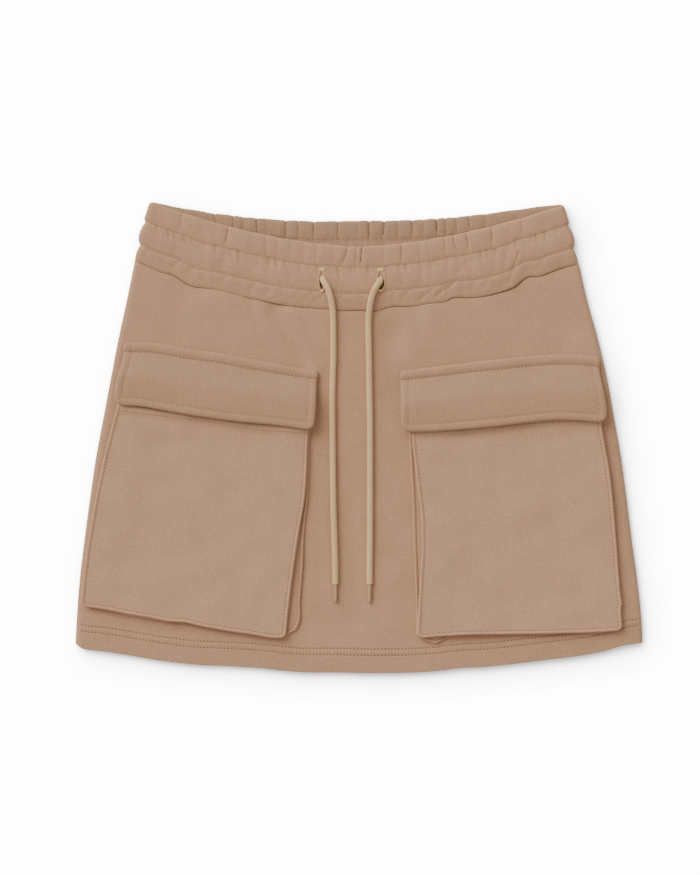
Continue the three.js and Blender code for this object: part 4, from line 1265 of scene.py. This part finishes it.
class SKIRT_OT_panels(bpy.types.Operator):
    """Cut the front and back panels, joined at the sides and hemmed"""

    bl_idname = "skirt.panels"
    bl_label = "Front and back panels"

    def execute(self, context):
        marks = [(PANEL_LENGTH - row, 2.2, 0.45) for row in HEM_ROWS]
        marks.append((PANEL_LENGTH - 0.8, 0.8, 0.3))
        down = places(PANEL_LENGTH, 2.4, (1.5, 3, 0.5), *marks) / PANEL_LENGTH
        width = HEM_WIDTH * 0.9
        outer_f, inner_f, lift = rolled_columns(width, CLOTH, np.linspace(0, 1, 185))
        edges = panel_edges(front_seam)
        outer_xy = patch(edges, outer_f[None, :], down[:, None])
        inner_xy = patch(edges, inner_f[None, :], down[:, None])
        hem_share = 1 - HEM_DEPTH / PANEL_LENGTH
        doubled = ease(down, hem_share - 0.002, hem_share + 0.002)[:, None]
        top = front_height(outer_xy[..., 0], outer_xy[..., 1])
        edge = round_over((1 - down) * PANEL_LENGTH, 0.9)[:, None]
        under_single = front_base(inner_xy[..., 0], inner_xy[..., 1]) - CLOTH
        under = under_single * (1 - doubled) + (FRONT_TOP - FRONT_HEM) * doubled + edge
        lip = SIDE_LIP + 0.1
        outer = lifted(outer_xy, lip, top - edge, lift)
        inner = lifted(inner_xy, lip, under, lift)
        front = add_wall("front_panel", outer, inner, cloth_material(), ["skirt_front"])

        outer_f, inner_f, lift = rolled_columns(width, CLOTH, np.linspace(0, 1, 120))
        down = places(PANEL_LENGTH, 4, *marks) / PANEL_LENGTH
        edges = panel_edges(back_seam)
        outer_xy = patch(edges, outer_f[None, :], down[:, None])
        inner_xy = patch(edges, inner_f[None, :], down[:, None])
        doubled = ease(down, hem_share - 0.002, hem_share + 0.002)[:, None]
        above = outer_xy[..., 1] - hem_line(outer_xy[..., 0])
        grooves = sum(0.35 * bell(above - row, 0.9) for row in HEM_ROWS)
        edge = round_over((1 - down) * PANEL_LENGTH, 0.9)[:, None]
        floor = grooves + edge
        over = CLOTH + (BACK_HEM - CLOTH) * doubled - edge
        lip = SIDE_LIP - 0.05
        outer = lifted(outer_xy, lip, floor, lift)
        inner = lifted(inner_xy, lip, over, lift)
        back = add_wall("back_panel", outer, inner, cloth_material(), ["skirt_back"])
        return {"FINISHED"}


def gather_depth(gathers, x, v):
    """Depth of the gathers: a soft trough for each, with a sharp crease at its middle.

    The trough is (1 - distance / half width) to the power 1.6, fullest in the casing and in the
    channel. The crease is a narrow bell that ends at the casing's stitch row. Both lean as they
    run down.
    """
    casing = bell(v - 0.13, 0.17) * (1 - 0.75 * bell(v - CASING_ROW, 0.03))
    channel = bell(v - 0.53, 0.15)
    low = bell(v - 0.87, 0.09)
    above_row = 1 - ease(v, 0.2, CASING_ROW + 0.02)
    run = np.minimum(v / CASING_ROW, 1) ** 1.5 + 0.4 * np.maximum(v / CASING_ROW - 1, 0)
    total = 0.0
    for place, lean, half, deep, mid, soft, sharp in zip(*gathers.values()):
        off = np.abs(x - place - lean * run)
        trough = np.clip(1 - off / half, 0, 1) ** 1.6
        total = total + trough * (0.45 * deep * casing + 0.6 * mid * channel + 0.8 * soft * low)
        total = total + 0.9 * sharp * bell(off, CREASE_WIDTH) * above_row
    return total


def pucker_depth(x, v, row, reach, spacing, lean, depth, seed):
    """Small slanting dents that a stitch row draws in the cloth beside it, unevenly spaced."""
    rng = np.random.default_rng(seed)
    count = int(360 / spacing)
    starts = -180 + spacing * (np.arange(count) + rng.uniform(-0.35, 0.35, count))
    strengths = rng.uniform(0.35, 1.0, count)
    total = 0.0
    below = (v - row) / reach
    for start, strength in zip(starts, strengths):
        line = start + lean * below
        total = total + strength * bell(x - line, spacing * 0.16) * bell(below - 0.45, 0.45)
    return depth * total * (below > -0.1)


def band_edges(edge, seam, gathers):
    """Border curves of one half of the waistband, with its sides pinched in at the stitch rows."""
    middle, power, notch = edge
    half = -BAND_LEFT[0]

    def edge_line(x):
        end = BAND_LEFT[1] + (BAND_RIGHT[1] - BAND_LEFT[1]) * (x + half) / (2 * half)
        line = middle + (end - middle) * np.abs(x / half) ** power
        if edge is BACK_EDGE:
            line = line + smooth(BACK_EDGE_WANDER, "x", "shift", x)
        corner = BAND_CORNER * bell(np.minimum(x - BAND_LEFT[0], BAND_RIGHT[0] - x), BAND_CORNER)
        return line - corner - notch * gather_depth(gathers, x, 0.1) + 0.15 * np.sin(x / 4.7)

    def top(f):
        x = BAND_LEFT[0] + (BAND_RIGHT[0] - BAND_LEFT[0]) * f
        return np.stack([x, edge_line(x)], axis=-1)

    def bottom(f):
        x = SEAM_LEFT + (SEAM_RIGHT - SEAM_LEFT) * f
        return np.stack([x, seam(x)], axis=-1)

    def side(corner_x, seam_x, outwards):
        def line(v):
            x = corner_x + (seam_x - corner_x) * v + outwards * smooth(BAND_ROWS, "down", "bulge", v)
            start, end = edge_line(np.full(1, corner_x))[0], seam(np.full(1, seam_x))[0]
            return np.stack([x, start + (end - start) * v], axis=-1)

        return line

    return {
        "top": top,
        "bottom": bottom,
        "left": side(BAND_LEFT[0], SEAM_LEFT, -1),
        "right": side(BAND_RIGHT[0], SEAM_RIGHT, 1),
    }


# Buttonholes: middle of each, and how far it opens to its left and right
BUTTONHOLES = {"left": (-31.5, 133.4, 2.9, 2.3), "right": (18.0, 133.2, 3.0, 4.4)}
BUTTONHOLE_HALF = 8.6


def slit_depth(x, y):
    """Depth of the two buttonholes: an oval that is open below and closed to a line at its top."""
    total = 0.0
    for place_x, place_y, left, right in BUTTONHOLES.values():
        side = np.where(x < place_x, left, right) - 0.9
        oval = np.hypot((x - place_x) / side, (y - place_y + 1.9) / (BUTTONHOLE_HALF - 2.3))
        closed = bell(x - place_x, 0.5) * bell(y - place_y - 5.6, 2.4)
        total = total + 4.4 * (1 - ease(oval, 0.72, 1.06)) + 0.9 * closed
    return total


def band_height(x, y, v):
    """Top of the waistband's front half: casing, channel and lower strip, with gathers and puckers."""
    form = smooth(BAND_ROWS, "down", "top", v)
    rows = 0.2 * bell(v - CASING_ROW, 0.012) + 0.2 * bell(v - CHANNEL_ROW, 0.012)
    small = pucker_depth(x, v, CASING_ROW, 0.13, 8.5, 2.5, 1.3, 11) - fold_height(BAND_FOLDS, x, y)
    small = small + pucker_depth(x, v, CHANNEL_ROW, 0.16, 14, -7, 0.5, 5)
    return form - rows - small - gather_depth(FRONT_GATHERS, x, v) + unevenness(x * 1.6, y, 0.45)


def band_inside(x, y, v):
    """Top of the waistband's back half, which is the inside of the casing with its own stitch row."""
    rows = 0.3 * bell(v - INNER_ROW, 0.012)
    small = pucker_depth(x, v, INNER_ROW, 0.12, 8, 1.5, 0.4, 3) + pucker_depth(x, v, 0.2, 0.12, 9, 1, 0.4, 8)
    form = smooth(BAND_ROWS, "down", "back", v)
    return form - rows - small - gather_depth(BACK_GATHERS, x, v) + unevenness(x * 1.7, y, 0.25)


def band_floor(x, v):
    """Outer face of the back half, which lies on the floor: its gathers are dents from below."""
    rows = 0.4 * bell(v - CASING_ROW, 0.014) + 0.4 * bell(v - CHANNEL_ROW, 0.014)
    gathers = 0.35 * gather_depth(BACK_GATHERS, x + 4, v)
    return smooth(BAND_ROWS, "down", "floor", v) + rows + gathers


class SKIRT_OT_waistband(bpy.types.Operator):
    """Sew the gathered elastic waistband, front and back"""

    bl_idname = "skirt.waistband"
    bl_label = "Waistband"

    def execute(self, context):
        width = BAND_RIGHT[0] - BAND_LEFT[0]
        marks = [(place[0] - BAND_LEFT[0], 5.6, 0.35) for place in BUTTONHOLES.values()]
        flat = places(width, 0.85, *marks) / width
        rows = [(BAND_DEPTH * row, 2, 0.4) for row in (CASING_ROW, CHANNEL_ROW)]
        down = places(BAND_DEPTH, 1.2, (0, 2.5, 0.4), *rows, (BAND_DEPTH, 2.4, 0.4)) / BAND_DEPTH
        outer_f, inner_f, lift = rolled_columns(width, ELASTIC, flat)
        v = down[:, None]
        edges = band_edges(FRONT_EDGE, front_seam, FRONT_GATHERS)
        outer_xy = patch(edges, outer_f[None, :], v)
        inner_xy = patch(edges, inner_f[None, :], v)
        x, y = outer_xy[..., 0], outer_xy[..., 1]
        top = band_height(x, y, v) - slit_depth(x, y)
        lip = smooth(BAND_ROWS, "down", "lip", v) + 0.1
        outer = lifted(outer_xy, lip, top, lift)
        under = np.minimum(smooth(BAND_ROWS, "down", "under", v), top - 0.6)
        inner = lifted(inner_xy, lip, under, lift)
        front = add_wall("waistband_front_half", outer, inner, cloth_material(), ["waistband_front"])

        edges = band_edges(BACK_EDGE, back_seam, BACK_GATHERS)
        outer_f, inner_f, lift = rolled_columns(width, ELASTIC, places(width, 0.85) / width)
        outer_xy = patch(edges, outer_f[None, :], v)
        inner_xy = patch(edges, inner_f[None, :], v)
        lip = smooth(BAND_ROWS, "down", "lip", v) - 0.05
        floor = band_floor(outer_xy[..., 0], v)
        over = np.maximum(band_inside(inner_xy[..., 0], inner_xy[..., 1], v), floor + 0.6)
        outer = lifted(outer_xy, lip, floor, lift)
        inner = lifted(inner_xy, lip, over, lift)
        # The back half's darker tan is painted shade of the recess under the front half's edge
        look = cloth_material("Inner cloth, painted shade", colours().inner_cloth_painted_shade)
        back = add_wall("waistband_back_half", outer, inner, look, ["waistband_back"])
        return {"FINISHED"}


# Pockets


def patch_size(edges):
    """Middle width and length of a patch."""
    middle = patch(edges, np.array([0.0, 1.0, 0.5, 0.5]), np.array([0.5, 0.5, 0.0, 1.0]))
    return np.linalg.norm(middle[1] - middle[0]), np.linalg.norm(middle[3] - middle[2])


FACE_CORNER = 6.0
RIM_ROW = 3.1  # edge stitching of the pocket face, from its edge
BEAD_HEIGHT = 0.55
TWIN_GAUGE = 5.4  # between the two rows of the hems


class PocketFace:
    """Shape of one pocket's face: shares across and down give its place and heights."""

    def __init__(self, side):
        self.edges = drawn_edges(POCKETS[side]["face"])
        self.width, self.length = patch_size(self.edges)
        self.mouth = POCKETS[side]["mouth"]
        self.mouth_rows = (self.mouth - TWIN_GAUGE, self.mouth)

    def place(self, f, v):
        f, v = round_corners(f, v, self.width, self.length, FACE_CORNER)
        return patch(self.edges, f, v)

    def inside(self, f, v):
        """Distance in from the sewn edges: left, right and bottom."""
        return np.minimum(np.minimum(f, 1 - f) * self.width, (1 - v) * self.length)

    def under(self, f, v):
        xy = self.place(f, v)
        x, y = xy[..., 0], xy[..., 1]
        inside = self.inside(f, v)
        sag = FACE_SAG * ease(inside, 18, 42)
        worn = 0.3 * unevenness(y, x) + fold_height(FACE_FOLDS, x, y) * ease(inside, 4, 16)
        return xy, front_base(x, y) + FACE_STAND - sag + worn

    def over(self, f, v):
        """A bead stands up outside the stitch row, and the mouth's hem is a little thicker."""
        xy, under = self.under(f, v)
        inside = self.inside(f, v)
        bead = BEAD_HEIGHT * bell(inside - 1.3, 1.15)
        row = 0.2 * bell(inside - RIM_ROW, 0.6)
        down = v * self.length
        hem = (MOUTH_HEM_CLOTH - CLOTH) * (1 - ease(down, self.mouth - 0.5, self.mouth + 3))
        twin = sum(0.4 * bell(down - place, 0.7) for place in self.mouth_rows)
        worn = 0.35 * unevenness(xy[..., 1], xy[..., 0])
        return xy, under + CLOTH + np.maximum(bead, hem) - row - twin + worn


class PocketFlap:
    """Shape of one pocket's flap: it rolls over its sewn edge and lies over the pocket's mouth."""

    CORNER = 8.5
    ROW = 6.4  # topstitching from the sides
    FOOT_ROW = 6.9  # and from the lower edge
    END_ROW = 5.6  # short rows across the roll, near both its ends
    ROLL_END = 0.9  # how far the roll stands out past the sides

    def __init__(self, side):
        self.edges = drawn_edges(POCKETS[side]["flap"])
        self.width, self.length = patch_size(self.edges)

    def place(self, f, v):
        across = (2 * f - 1) ** 15
        f, v = round_corners(f, v, self.width, self.length, self.CORNER, 2.0)
        xy = patch(self.edges, f, v)
        xy[..., 0] += self.ROLL_END * bell(v * FLAP_LENGTH - 5, 3) * across
        return xy

    def inside(self, f, v):
        """Distance in from the sides and the lower edge, scaled so that the stitching is at ROW."""
        foot = (1 - v) * self.length * self.ROW / self.FOOT_ROW
        return np.minimum(np.minimum(f, 1 - f) * self.width, foot)

    def over(self, f, v):
        """Height of the flap's face: the rim outside the topstitching is full and round."""
        xy = self.place(f, v)
        x, y = xy[..., 0], xy[..., 1]
        inside = self.inside(f, v)
        down = v * FLAP_LENGTH
        above = smooth(FLAP_ROWS, "down", "above", down)
        below_roll = ease(down, FLAP_SEWN - 0.5, FLAP_SEWN + 2)
        row = 0.3 * bell(inside - self.ROW, 0.9) * (0.4 + 0.6 * below_roll)
        sewn = 0.15 * bell(down - FLAP_SEWN, 0.8)
        rim = 0.4 * bell(inside - 3.0, 2.2) * below_roll
        edge = np.minimum(np.minimum(f, 1 - f) * self.width, np.minimum(v, 1 - v) * self.length)
        soft = 0.4 * unevenness(x + 40, y) * below_roll
        return xy, front_base(x, y) + above + rim - row - sewn + soft, edge


class PocketGusset:
    """The folded strip between a pocket's face and the panel, worked out along the pocket's edge."""

    RIDGE = 1.0  # the seam allowance stands up inside the base seam
    BASE_ROW = 3.0  # edge stitching from the base seam

    def __init__(self, side, face):
        run = np.linspace(0, 1, 120)
        f = np.r_[0 * run[:-1], run[:-1], 0 * run + 1]
        v = np.r_[run[:-1], 0 * run[:-1] + 1, run[::-1]]
        along = np.r_[run[:-1], 1 + run[:-1], 2 + run]
        in_f, in_v = GUSSET_FOLD / face.width, GUSSET_FOLD / face.length
        rows = POCKETS[side]["base"]
        self.edge = face.place(f, v)
        self.fold = patch(face.edges, in_f + f * (1 - 2 * in_f), v * (1 - in_v))
        self.base = self.edge + np.stack([smooth(rows, "along", key, along) for key in ("dx", "dy")], axis=1)
        self.inwards = unit(self.fold - self.edge)
        self.to_fold = unit(self.fold - self.base)

    def at(self, place, above):
        return stack(place, front_base(place[:, 0], place[:, 1]) + above)

    def from_base(self, inset, above):
        return self.at(self.base + self.to_fold * inset, above)

    def sections(self):
        """One closed outline at each step along the edge.

        Each runs from the base seam's rim on the panel inwards to the inner fold, round it, and
        back out under the face's edge, then in again inside the fold and out over the seam's ridge.
        """
        low, low_top = SEAT, SEAT + GUSSET_CLOTH
        high, high_top = low_top + SEAT, low_top + SEAT + GUSSET_CLOTH
        at, from_base, ridge = self.at, self.from_base, self.RIDGE
        tucked = self.edge + self.inwards * 0.6
        crotch = self.fold - self.inwards * 1.2

        def from_fold(share, above):
            return at(self.fold + (tucked - self.fold) * share, above)

        loop = [
            from_base(0.2, low),
            from_base(4.0, low),
            at(self.fold, low),
            at(self.fold + self.inwards * 0.9, low + 0.5),
            at(self.fold + self.inwards * 1.2, (low_top + high) / 2),
            at(self.fold + self.inwards * 0.9, high_top - 0.5),
            at(self.fold, high_top),
            from_fold(0.5, high_top),
            from_fold(0.9, high_top + 0.1),
            at(tucked, high_top),
            at(tucked - self.inwards * 0.3, (high + high_top) / 2),
            at(tucked, high),
            from_fold(0.5, high),
            at(crotch, (low_top + high) / 2),
            at((crotch + self.base) / 2, low_top),
            from_base(5.6, low_top + 0.15),
            from_base(4.4, low_top + 0.1),
            from_base(3.6, low_top - 0.25),
            from_base(self.BASE_ROW, low_top - 0.1),
            from_base(2.4, low_top + ridge * 0.75),
            from_base(1.5, low_top + ridge),
            from_base(0.7, low_top + ridge * 0.7),
            from_base(0.15, low_top + ridge * 0.1),
            from_base(0.0, low + 0.7),
        ]
        return np.stack(loop, axis=1)

    def stitch_line(self):
        return self.from_base(self.BASE_ROW, SEAT + GUSSET_CLOTH - 0.05)


class SKIRT_OT_pockets(bpy.types.Operator):
    """Sew on the pocket faces with their folded gussets"""

    bl_idname = "skirt.pockets"
    bl_label = "Pockets"

    def execute(self, context):
        for side in POCKETS:
            face = PocketFace(side)
            piece = self.add_face(side, face)
            gusset = self.add_gusset(side, face)
        return {"FINISHED"}

    def add_face(self, side, face):
        across = places(face.width, 1.9, (0, 5, 0.4), (face.width, 5, 0.4)) / face.width
        mouth = [(place, 1.6, 0.4) for place in face.mouth_rows]
        down = places(face.length, 1.9, (0.6, 1, 0.4), *mouth, (face.length, 5, 0.4)) / face.length
        f, v = np.meshgrid(across, down)
        edge = np.minimum(np.minimum(f, 1 - f) * face.width, np.minimum(v, 1 - v) * face.length)
        over_xy, over = face.over(f, v)
        under_xy, under = face.under(f, v)
        outer = stack(over_xy, over - round_over(edge, 1.0))
        inner = stack(under_xy, under + round_over(edge, 0.5))
        # The pocket faces take the lighter copy of the cloth: painted light
        look = cloth_material("Pocket cloth, painted light", colours().pocket_cloth_painted_light)
        return add_wall(f"pocket_{side}", outer, inner, look, [f"pocket_face_{side}"])

    def add_gusset(self, side, face):
        sections = PocketGusset(side, face).sections()
        # The weave runs along the lower layer's middle and round the outline of one section
        along = np.r_[0, np.cumsum(np.linalg.norm(np.diff(sections[:, 14], axis=0), axis=1))]
        round_ = np.cumsum(np.linalg.norm(np.diff(sections[50], axis=0, prepend=sections[50][:1]), axis=1))
        u, v = np.meshgrid(round_ * MM, along * MM)
        uv = np.stack([u, v], axis=-1)
        return add_strip(f"gusset_{side}", sections, cloth_material(), uv, [f"pocket_gusset_{side}"])


class SKIRT_OT_flaps(bpy.types.Operator):
    """Sew the topstitched flaps over the pockets"""

    bl_idname = "skirt.flaps"
    bl_label = "Flaps"

    def execute(self, context):
        for side in POCKETS:
            flap = PocketFlap(side)
            across = places(flap.width, 1.7, (0, 7, 0.5), (flap.width, 7, 0.5)) / flap.width
            sewn = FLAP_SEWN * flap.length / FLAP_LENGTH
            marks = [(0, 2.4, 0.35), (sewn, 2.2, 0.35), (flap.length, 8, 0.5)]
            down = places(flap.length, 1.3, *marks) / flap.length
            f, v = np.meshgrid(across, down)
            xy, over, edge = flap.over(f, v)
            outer = stack(xy, over - round_over(edge, 1.5))
            lowest = front_base(xy[..., 0], xy[..., 1]) + SEAT
            under = np.maximum(over - FLAP_CLOTH, lowest) + round_over(edge, 0.9)
            inner = stack(xy, np.minimum(under, outer[..., 2] - 0.2))
            # The flaps take the darker copy of the cloth: painted shade
            look = cloth_material("Flap cloth", colours().flap_cloth)
            piece = add_wall(f"pocket_flap_{side}", outer, inner, look, [f"flap_{side}"])
        return {"FINISHED"}


# Sewing


def stitch_points(path, pitch):
    """Middles and directions of the stitches along a path, and the needle holes between them."""
    points = even_steps(path, pitch)[0]
    return (points[1:] + points[:-1]) / 2, unit(points[1:] - points[:-1]), points


def thread_shapes(middles, directions, length, width):
    """A small rounded bar for every stitch: four rings of six points, pinched at both ends."""
    turn = np.linspace(0, 2 * np.pi, 6, endpoint=False)
    stations = np.array([(-0.5, 0.25), (-0.3, 1.0), (0.3, 1.0), (0.5, 0.25)])
    across = unit(np.cross(directions, [0, 0, 1]))
    upright = np.cross(across, directions)
    ring = (
        np.cos(turn)[None, None, :, None] * across[:, None, None]
        + np.sin(turn)[None, None, :, None] * upright[:, None, None] * 0.8
    ) * width / 2
    centre = middles[:, None] + directions[:, None] * stations[None, :, :1] * length
    points = centre[:, :, None] + ring * stations[None, :, 1, None, None]
    template = np.arange(24).reshape(4, 6)
    around = np.roll(template, -1, axis=1)
    sides = np.stack([template[:-1], around[:-1], around[1:], template[1:]], axis=-1).reshape(-1, 4)
    ends = np.array([[0, 5, 4, 1], [1, 4, 3, 2], [18, 19, 22, 23], [19, 20, 21, 22]])
    faces = np.concatenate([sides, ends])
    faces = faces[None] + 24 * np.arange(len(middles))[:, None, None]
    return points.reshape(-1, 3), faces.reshape(-1, 4)


def needle_hole_shadows(points, directions, size):
    """A small flat lozenge of shadow at every needle hole."""
    across = unit(np.cross(directions, [0, 0, 1]))
    corners = np.stack(
        [-directions * size / 2, across * size * 0.4, directions * size / 2, -across * size * 0.4], axis=1
    )
    shapes = points[:, None] + corners
    faces = np.arange(len(points) * 4).reshape(-1, 4)
    return shapes.reshape(-1, 3), faces


def sewing_rows():
    """Every visible stitch row as a path of points on the cloth's face."""
    rows = {}
    x = np.linspace(-HEM_WIDTH / 2 + 6, HEM_WIDTH / 2 - 6, 400)
    for i, above in enumerate(HEM_ROWS):
        xy = np.stack([x, hem_line(x) + above], axis=-1)
        rows[f"hem_{i}"] = stack(xy, front_height(x, xy[:, 1]))
        rows[f"hem_under_{i}"] = stack(xy, np.full_like(x, 0.35))
    f = np.linspace(0.016, 0.984, 400)
    edges = band_edges(FRONT_EDGE, front_seam, FRONT_GATHERS)
    for name, share in (("casing", CASING_ROW), ("channel", CHANNEL_ROW)):
        v = np.full_like(f, share)
        xy = patch(edges, f, v)
        rows[name] = stack(xy, band_height(xy[:, 0], xy[:, 1], v))
        rows[f"{name}_under"] = stack(xy, band_floor(xy[:, 0], v))
    casing = rows.pop("casing")
    rows["casing_left"] = casing[casing[:, 0] < BUTTONHOLES["left"][0] - 1]
    rows["casing_right"] = casing[casing[:, 0] > BUTTONHOLES["right"][0] + 1]
    v = np.full_like(f, INNER_ROW)
    xy = patch(band_edges(BACK_EDGE, back_seam, BACK_GATHERS), f, v)
    rows["inner_casing"] = stack(xy, band_inside(xy[:, 0], xy[:, 1], v))
    for side in POCKETS:
        rows.update(pocket_rows(side))
    return rows


def border_run(width, length, row, foot_row, start):
    """Shares of a U-shaped row: row in from the left and right edges, foot_row from the bottom."""
    run = np.linspace(0, 1, 160)
    low, high, foot = row / width, 1 - row / width, 1 - foot_row / length
    f = np.r_[0 * run + low, low + (high - low) * run[1:], 0 * run[1:] + high]
    v = np.r_[start + (foot - start) * run, 0 * run[1:] + foot, foot + (start - foot) * run[1:]]
    return f, v


def pocket_rows(side):
    """Stitch rows of one pocket: the face's rim and mouth, the flap's sewn edge and topstitching."""
    face, flap = PocketFace(side), PocketFlap(side)

    def on_flap(f, v):
        return stack(*flap.over(f, v)[:2])

    rows = {f"base_{side}": PocketGusset(side, face).stitch_line()}
    f, v = border_run(face.width, face.length, RIM_ROW, RIM_ROW, 0)
    rows[f"rim_{side}"] = stack(*face.over(f, v))
    f = np.linspace(RIM_ROW / face.width, 1 - RIM_ROW / face.width, 200)
    for i, row in enumerate(face.mouth_rows):
        rows[f"mouth_{side}_{i}"] = stack(*face.over(f, np.full_like(f, row / face.length)))
    f, v = border_run(flap.width, flap.length, flap.ROW, flap.FOOT_ROW, FLAP_SEWN / FLAP_LENGTH)
    rows[f"flap_{side}"] = on_flap(f, v)
    f = np.linspace(1.5 / flap.width, 1 - 1.5 / flap.width, 200)
    rows[f"sewn_{side}"] = on_flap(f, np.full_like(f, FLAP_SEWN / FLAP_LENGTH))
    v = np.linspace(0.8, FLAP_SEWN - 0.4, 20) / FLAP_LENGTH
    for end, share in (("left", flap.END_ROW / flap.width), ("right", 1 - flap.END_ROW / flap.width)):
        rows[f"end_{side}_{end}"] = on_flap(np.full_like(v, share), v)
    return rows


# Length of a needle hole's shadow in each kind of stitch row
HOLE_SIZES = {
    "hem": 1.9,
    "rim": 1.3,
    "base": 1.1,
    "mouth": 1.2,
    "sewn": 1.5,
    "flap": 0.8,
    "end": 0.8,
    "casing": 1.0,
    "channel": 1.0,
    "inner": 1.2,
}


def join_shapes(name, shapes, look):
    """One piece from many small closed shapes."""
    starts = np.cumsum([0] + [len(points) for points, faces in shapes[:-1]])
    points = np.concatenate([points for points, faces in shapes])
    faces = np.concatenate([faces + start for (_, faces), start in zip(shapes, starts)])
    return add_mesh(name, points, faces, look)


class SKIRT_OT_stitching(bpy.types.Operator):
    """Sew every stitch row in thread that matches the cloth, with a painted shadow at each needle hole"""

    bl_idname = "skirt.stitching"
    bl_label = "Stitch rows"

    def execute(self, context):
        pitch, width = sizes().stitch_pitch / MM, sizes().thread_width / MM
        thread, hole_shadows = [], []
        for name, path in sewing_rows().items():
            middles, directions, ends = stitch_points(path, pitch)
            thread.append(thread_shapes(middles + [0, 0, 0.08], directions, pitch * 0.66, width))
            ahead = np.vstack([directions, directions[-1:]])
            size = HOLE_SIZES[name.split("_")[0]]
            # A dark lozenge at each needle hole: painted shadow
            hole_shadows.append(needle_hole_shadows(ends + [0, 0, 0.12], ahead, size))
        cloth = colours().cloth
        join_shapes("thread", thread, thread_and_shadow_material("Thread", cloth, 1.05))
        join_shapes("needle_hole_shadows", hole_shadows, thread_and_shadow_material("Needle hole shadow", cloth, 0.34))
        return {"FINISHED"}


# Length and width of the buttonholes' stitches
RIM_THREAD = (1.5, 0.62)
TACK_THREAD = (2.4, 0.75)


class SKIRT_OT_buttonholes(bpy.types.Operator):
    """Embroider the rims and bar tacks of the buttonholes that the drawcord leaves"""

    bl_idname = "skirt.buttonholes"
    bl_label = "Buttonholes"

    def execute(self, context):
        edges = band_edges(FRONT_EDGE, front_seam, FRONT_GATHERS)
        rims, tacks = [], []
        for place_x, place_y, left, right in BUTTONHOLES.values():
            turn = np.linspace(0, 2 * np.pi, 96, endpoint=False)
            x = place_x + np.sin(turn) * np.where(np.sin(turn) < 0, left, right)
            y = place_y + np.cos(turn) * BUTTONHOLE_HALF
            middles = np.stack([x, y, self.height(edges, x, y) + 0.3], axis=1)
            outwards = unit(np.stack([np.sin(turn), np.cos(turn) * 0.3, np.zeros_like(turn)], axis=1))
            rims.append(thread_shapes(middles, outwards, *RIM_THREAD))
            for end, half_width in ((BUTTONHOLE_HALF + 0.8, 2.3), (-BUTTONHOLE_HALF, 1.3)):
                count = int(4 * half_width) + 1
                x = place_x + np.linspace(-half_width, half_width, count)
                y = np.full(count, place_y + end)
                middles = np.stack([x, y, self.height(edges, x, y) + 0.45], axis=1)
                up = np.tile([0.0, 1.0, 0.0], (count, 1))
                tacks.append(thread_shapes(middles, up, *TACK_THREAD))
        join_shapes("buttonhole_rims", rims, thread_and_shadow_material("Rim thread", colours().cord, 0.86))
        join_shapes("buttonhole_tacks", tacks, thread_and_shadow_material("Tack thread", colours().cord, 1.12))
        return {"FINISHED"}

    def height(self, edges, x, y):
        """Band height at a place: its share down the band is that of its height between the edges."""
        middle = (x - BAND_LEFT[0]) / (BAND_RIGHT[0] - BAND_LEFT[0])
        top = edges["top"](middle)[..., 1]
        bottom = front_seam(x)
        v = np.clip((top - y) / (top - bottom), 0, 1)
        return band_height(x, y, v)


class SKIRT_PT_panel(bpy.types.Panel):
    """Sizes, colours and the pieces in the order that they are made"""

    bl_idname = "SKIRT_PT_panel"
    bl_label = "Cargo skirt"
    bl_space_type = "VIEW_3D"
    bl_region_type = "UI"
    bl_category = "Skirt"

    def draw(self, context):
        layout = self.layout
        for group in (context.scene.skirt_sizes, context.scene.skirt_colours):
            for key in group.bl_rna.properties.keys():
                if key not in ("rna_type", "name"):
                    layout.prop(group, key)
        for operator in OPERATORS:
            layout.operator(operator.bl_idname)


OPERATORS = (
    SKIRT_OT_stage,
    SKIRT_OT_drawcords,
    SKIRT_OT_panels,
    SKIRT_OT_waistband,
    SKIRT_OT_pockets,
    SKIRT_OT_flaps,
    SKIRT_OT_stitching,
    SKIRT_OT_buttonholes,
)
CLASSES = (SkirtSizes, SkirtColours, *OPERATORS, SKIRT_PT_panel)


def register():
    for cls in CLASSES:
        bpy.utils.register_class(cls)
    bpy.types.Scene.skirt_sizes = PointerProperty(type=SkirtSizes)
    bpy.types.Scene.skirt_colours = PointerProperty(type=SkirtColours)


def unregister():
    del bpy.types.Scene.skirt_sizes
    del bpy.types.Scene.skirt_colours
    for cls in reversed(CLASSES):
        bpy.utils.unregister_class(cls)


def main():
    register()
    for operator in OPERATORS:
        family, name = operator.bl_idname.split(".")
        getattr(getattr(bpy.ops, family), name)()


if __name__ == "__main__":
    main()
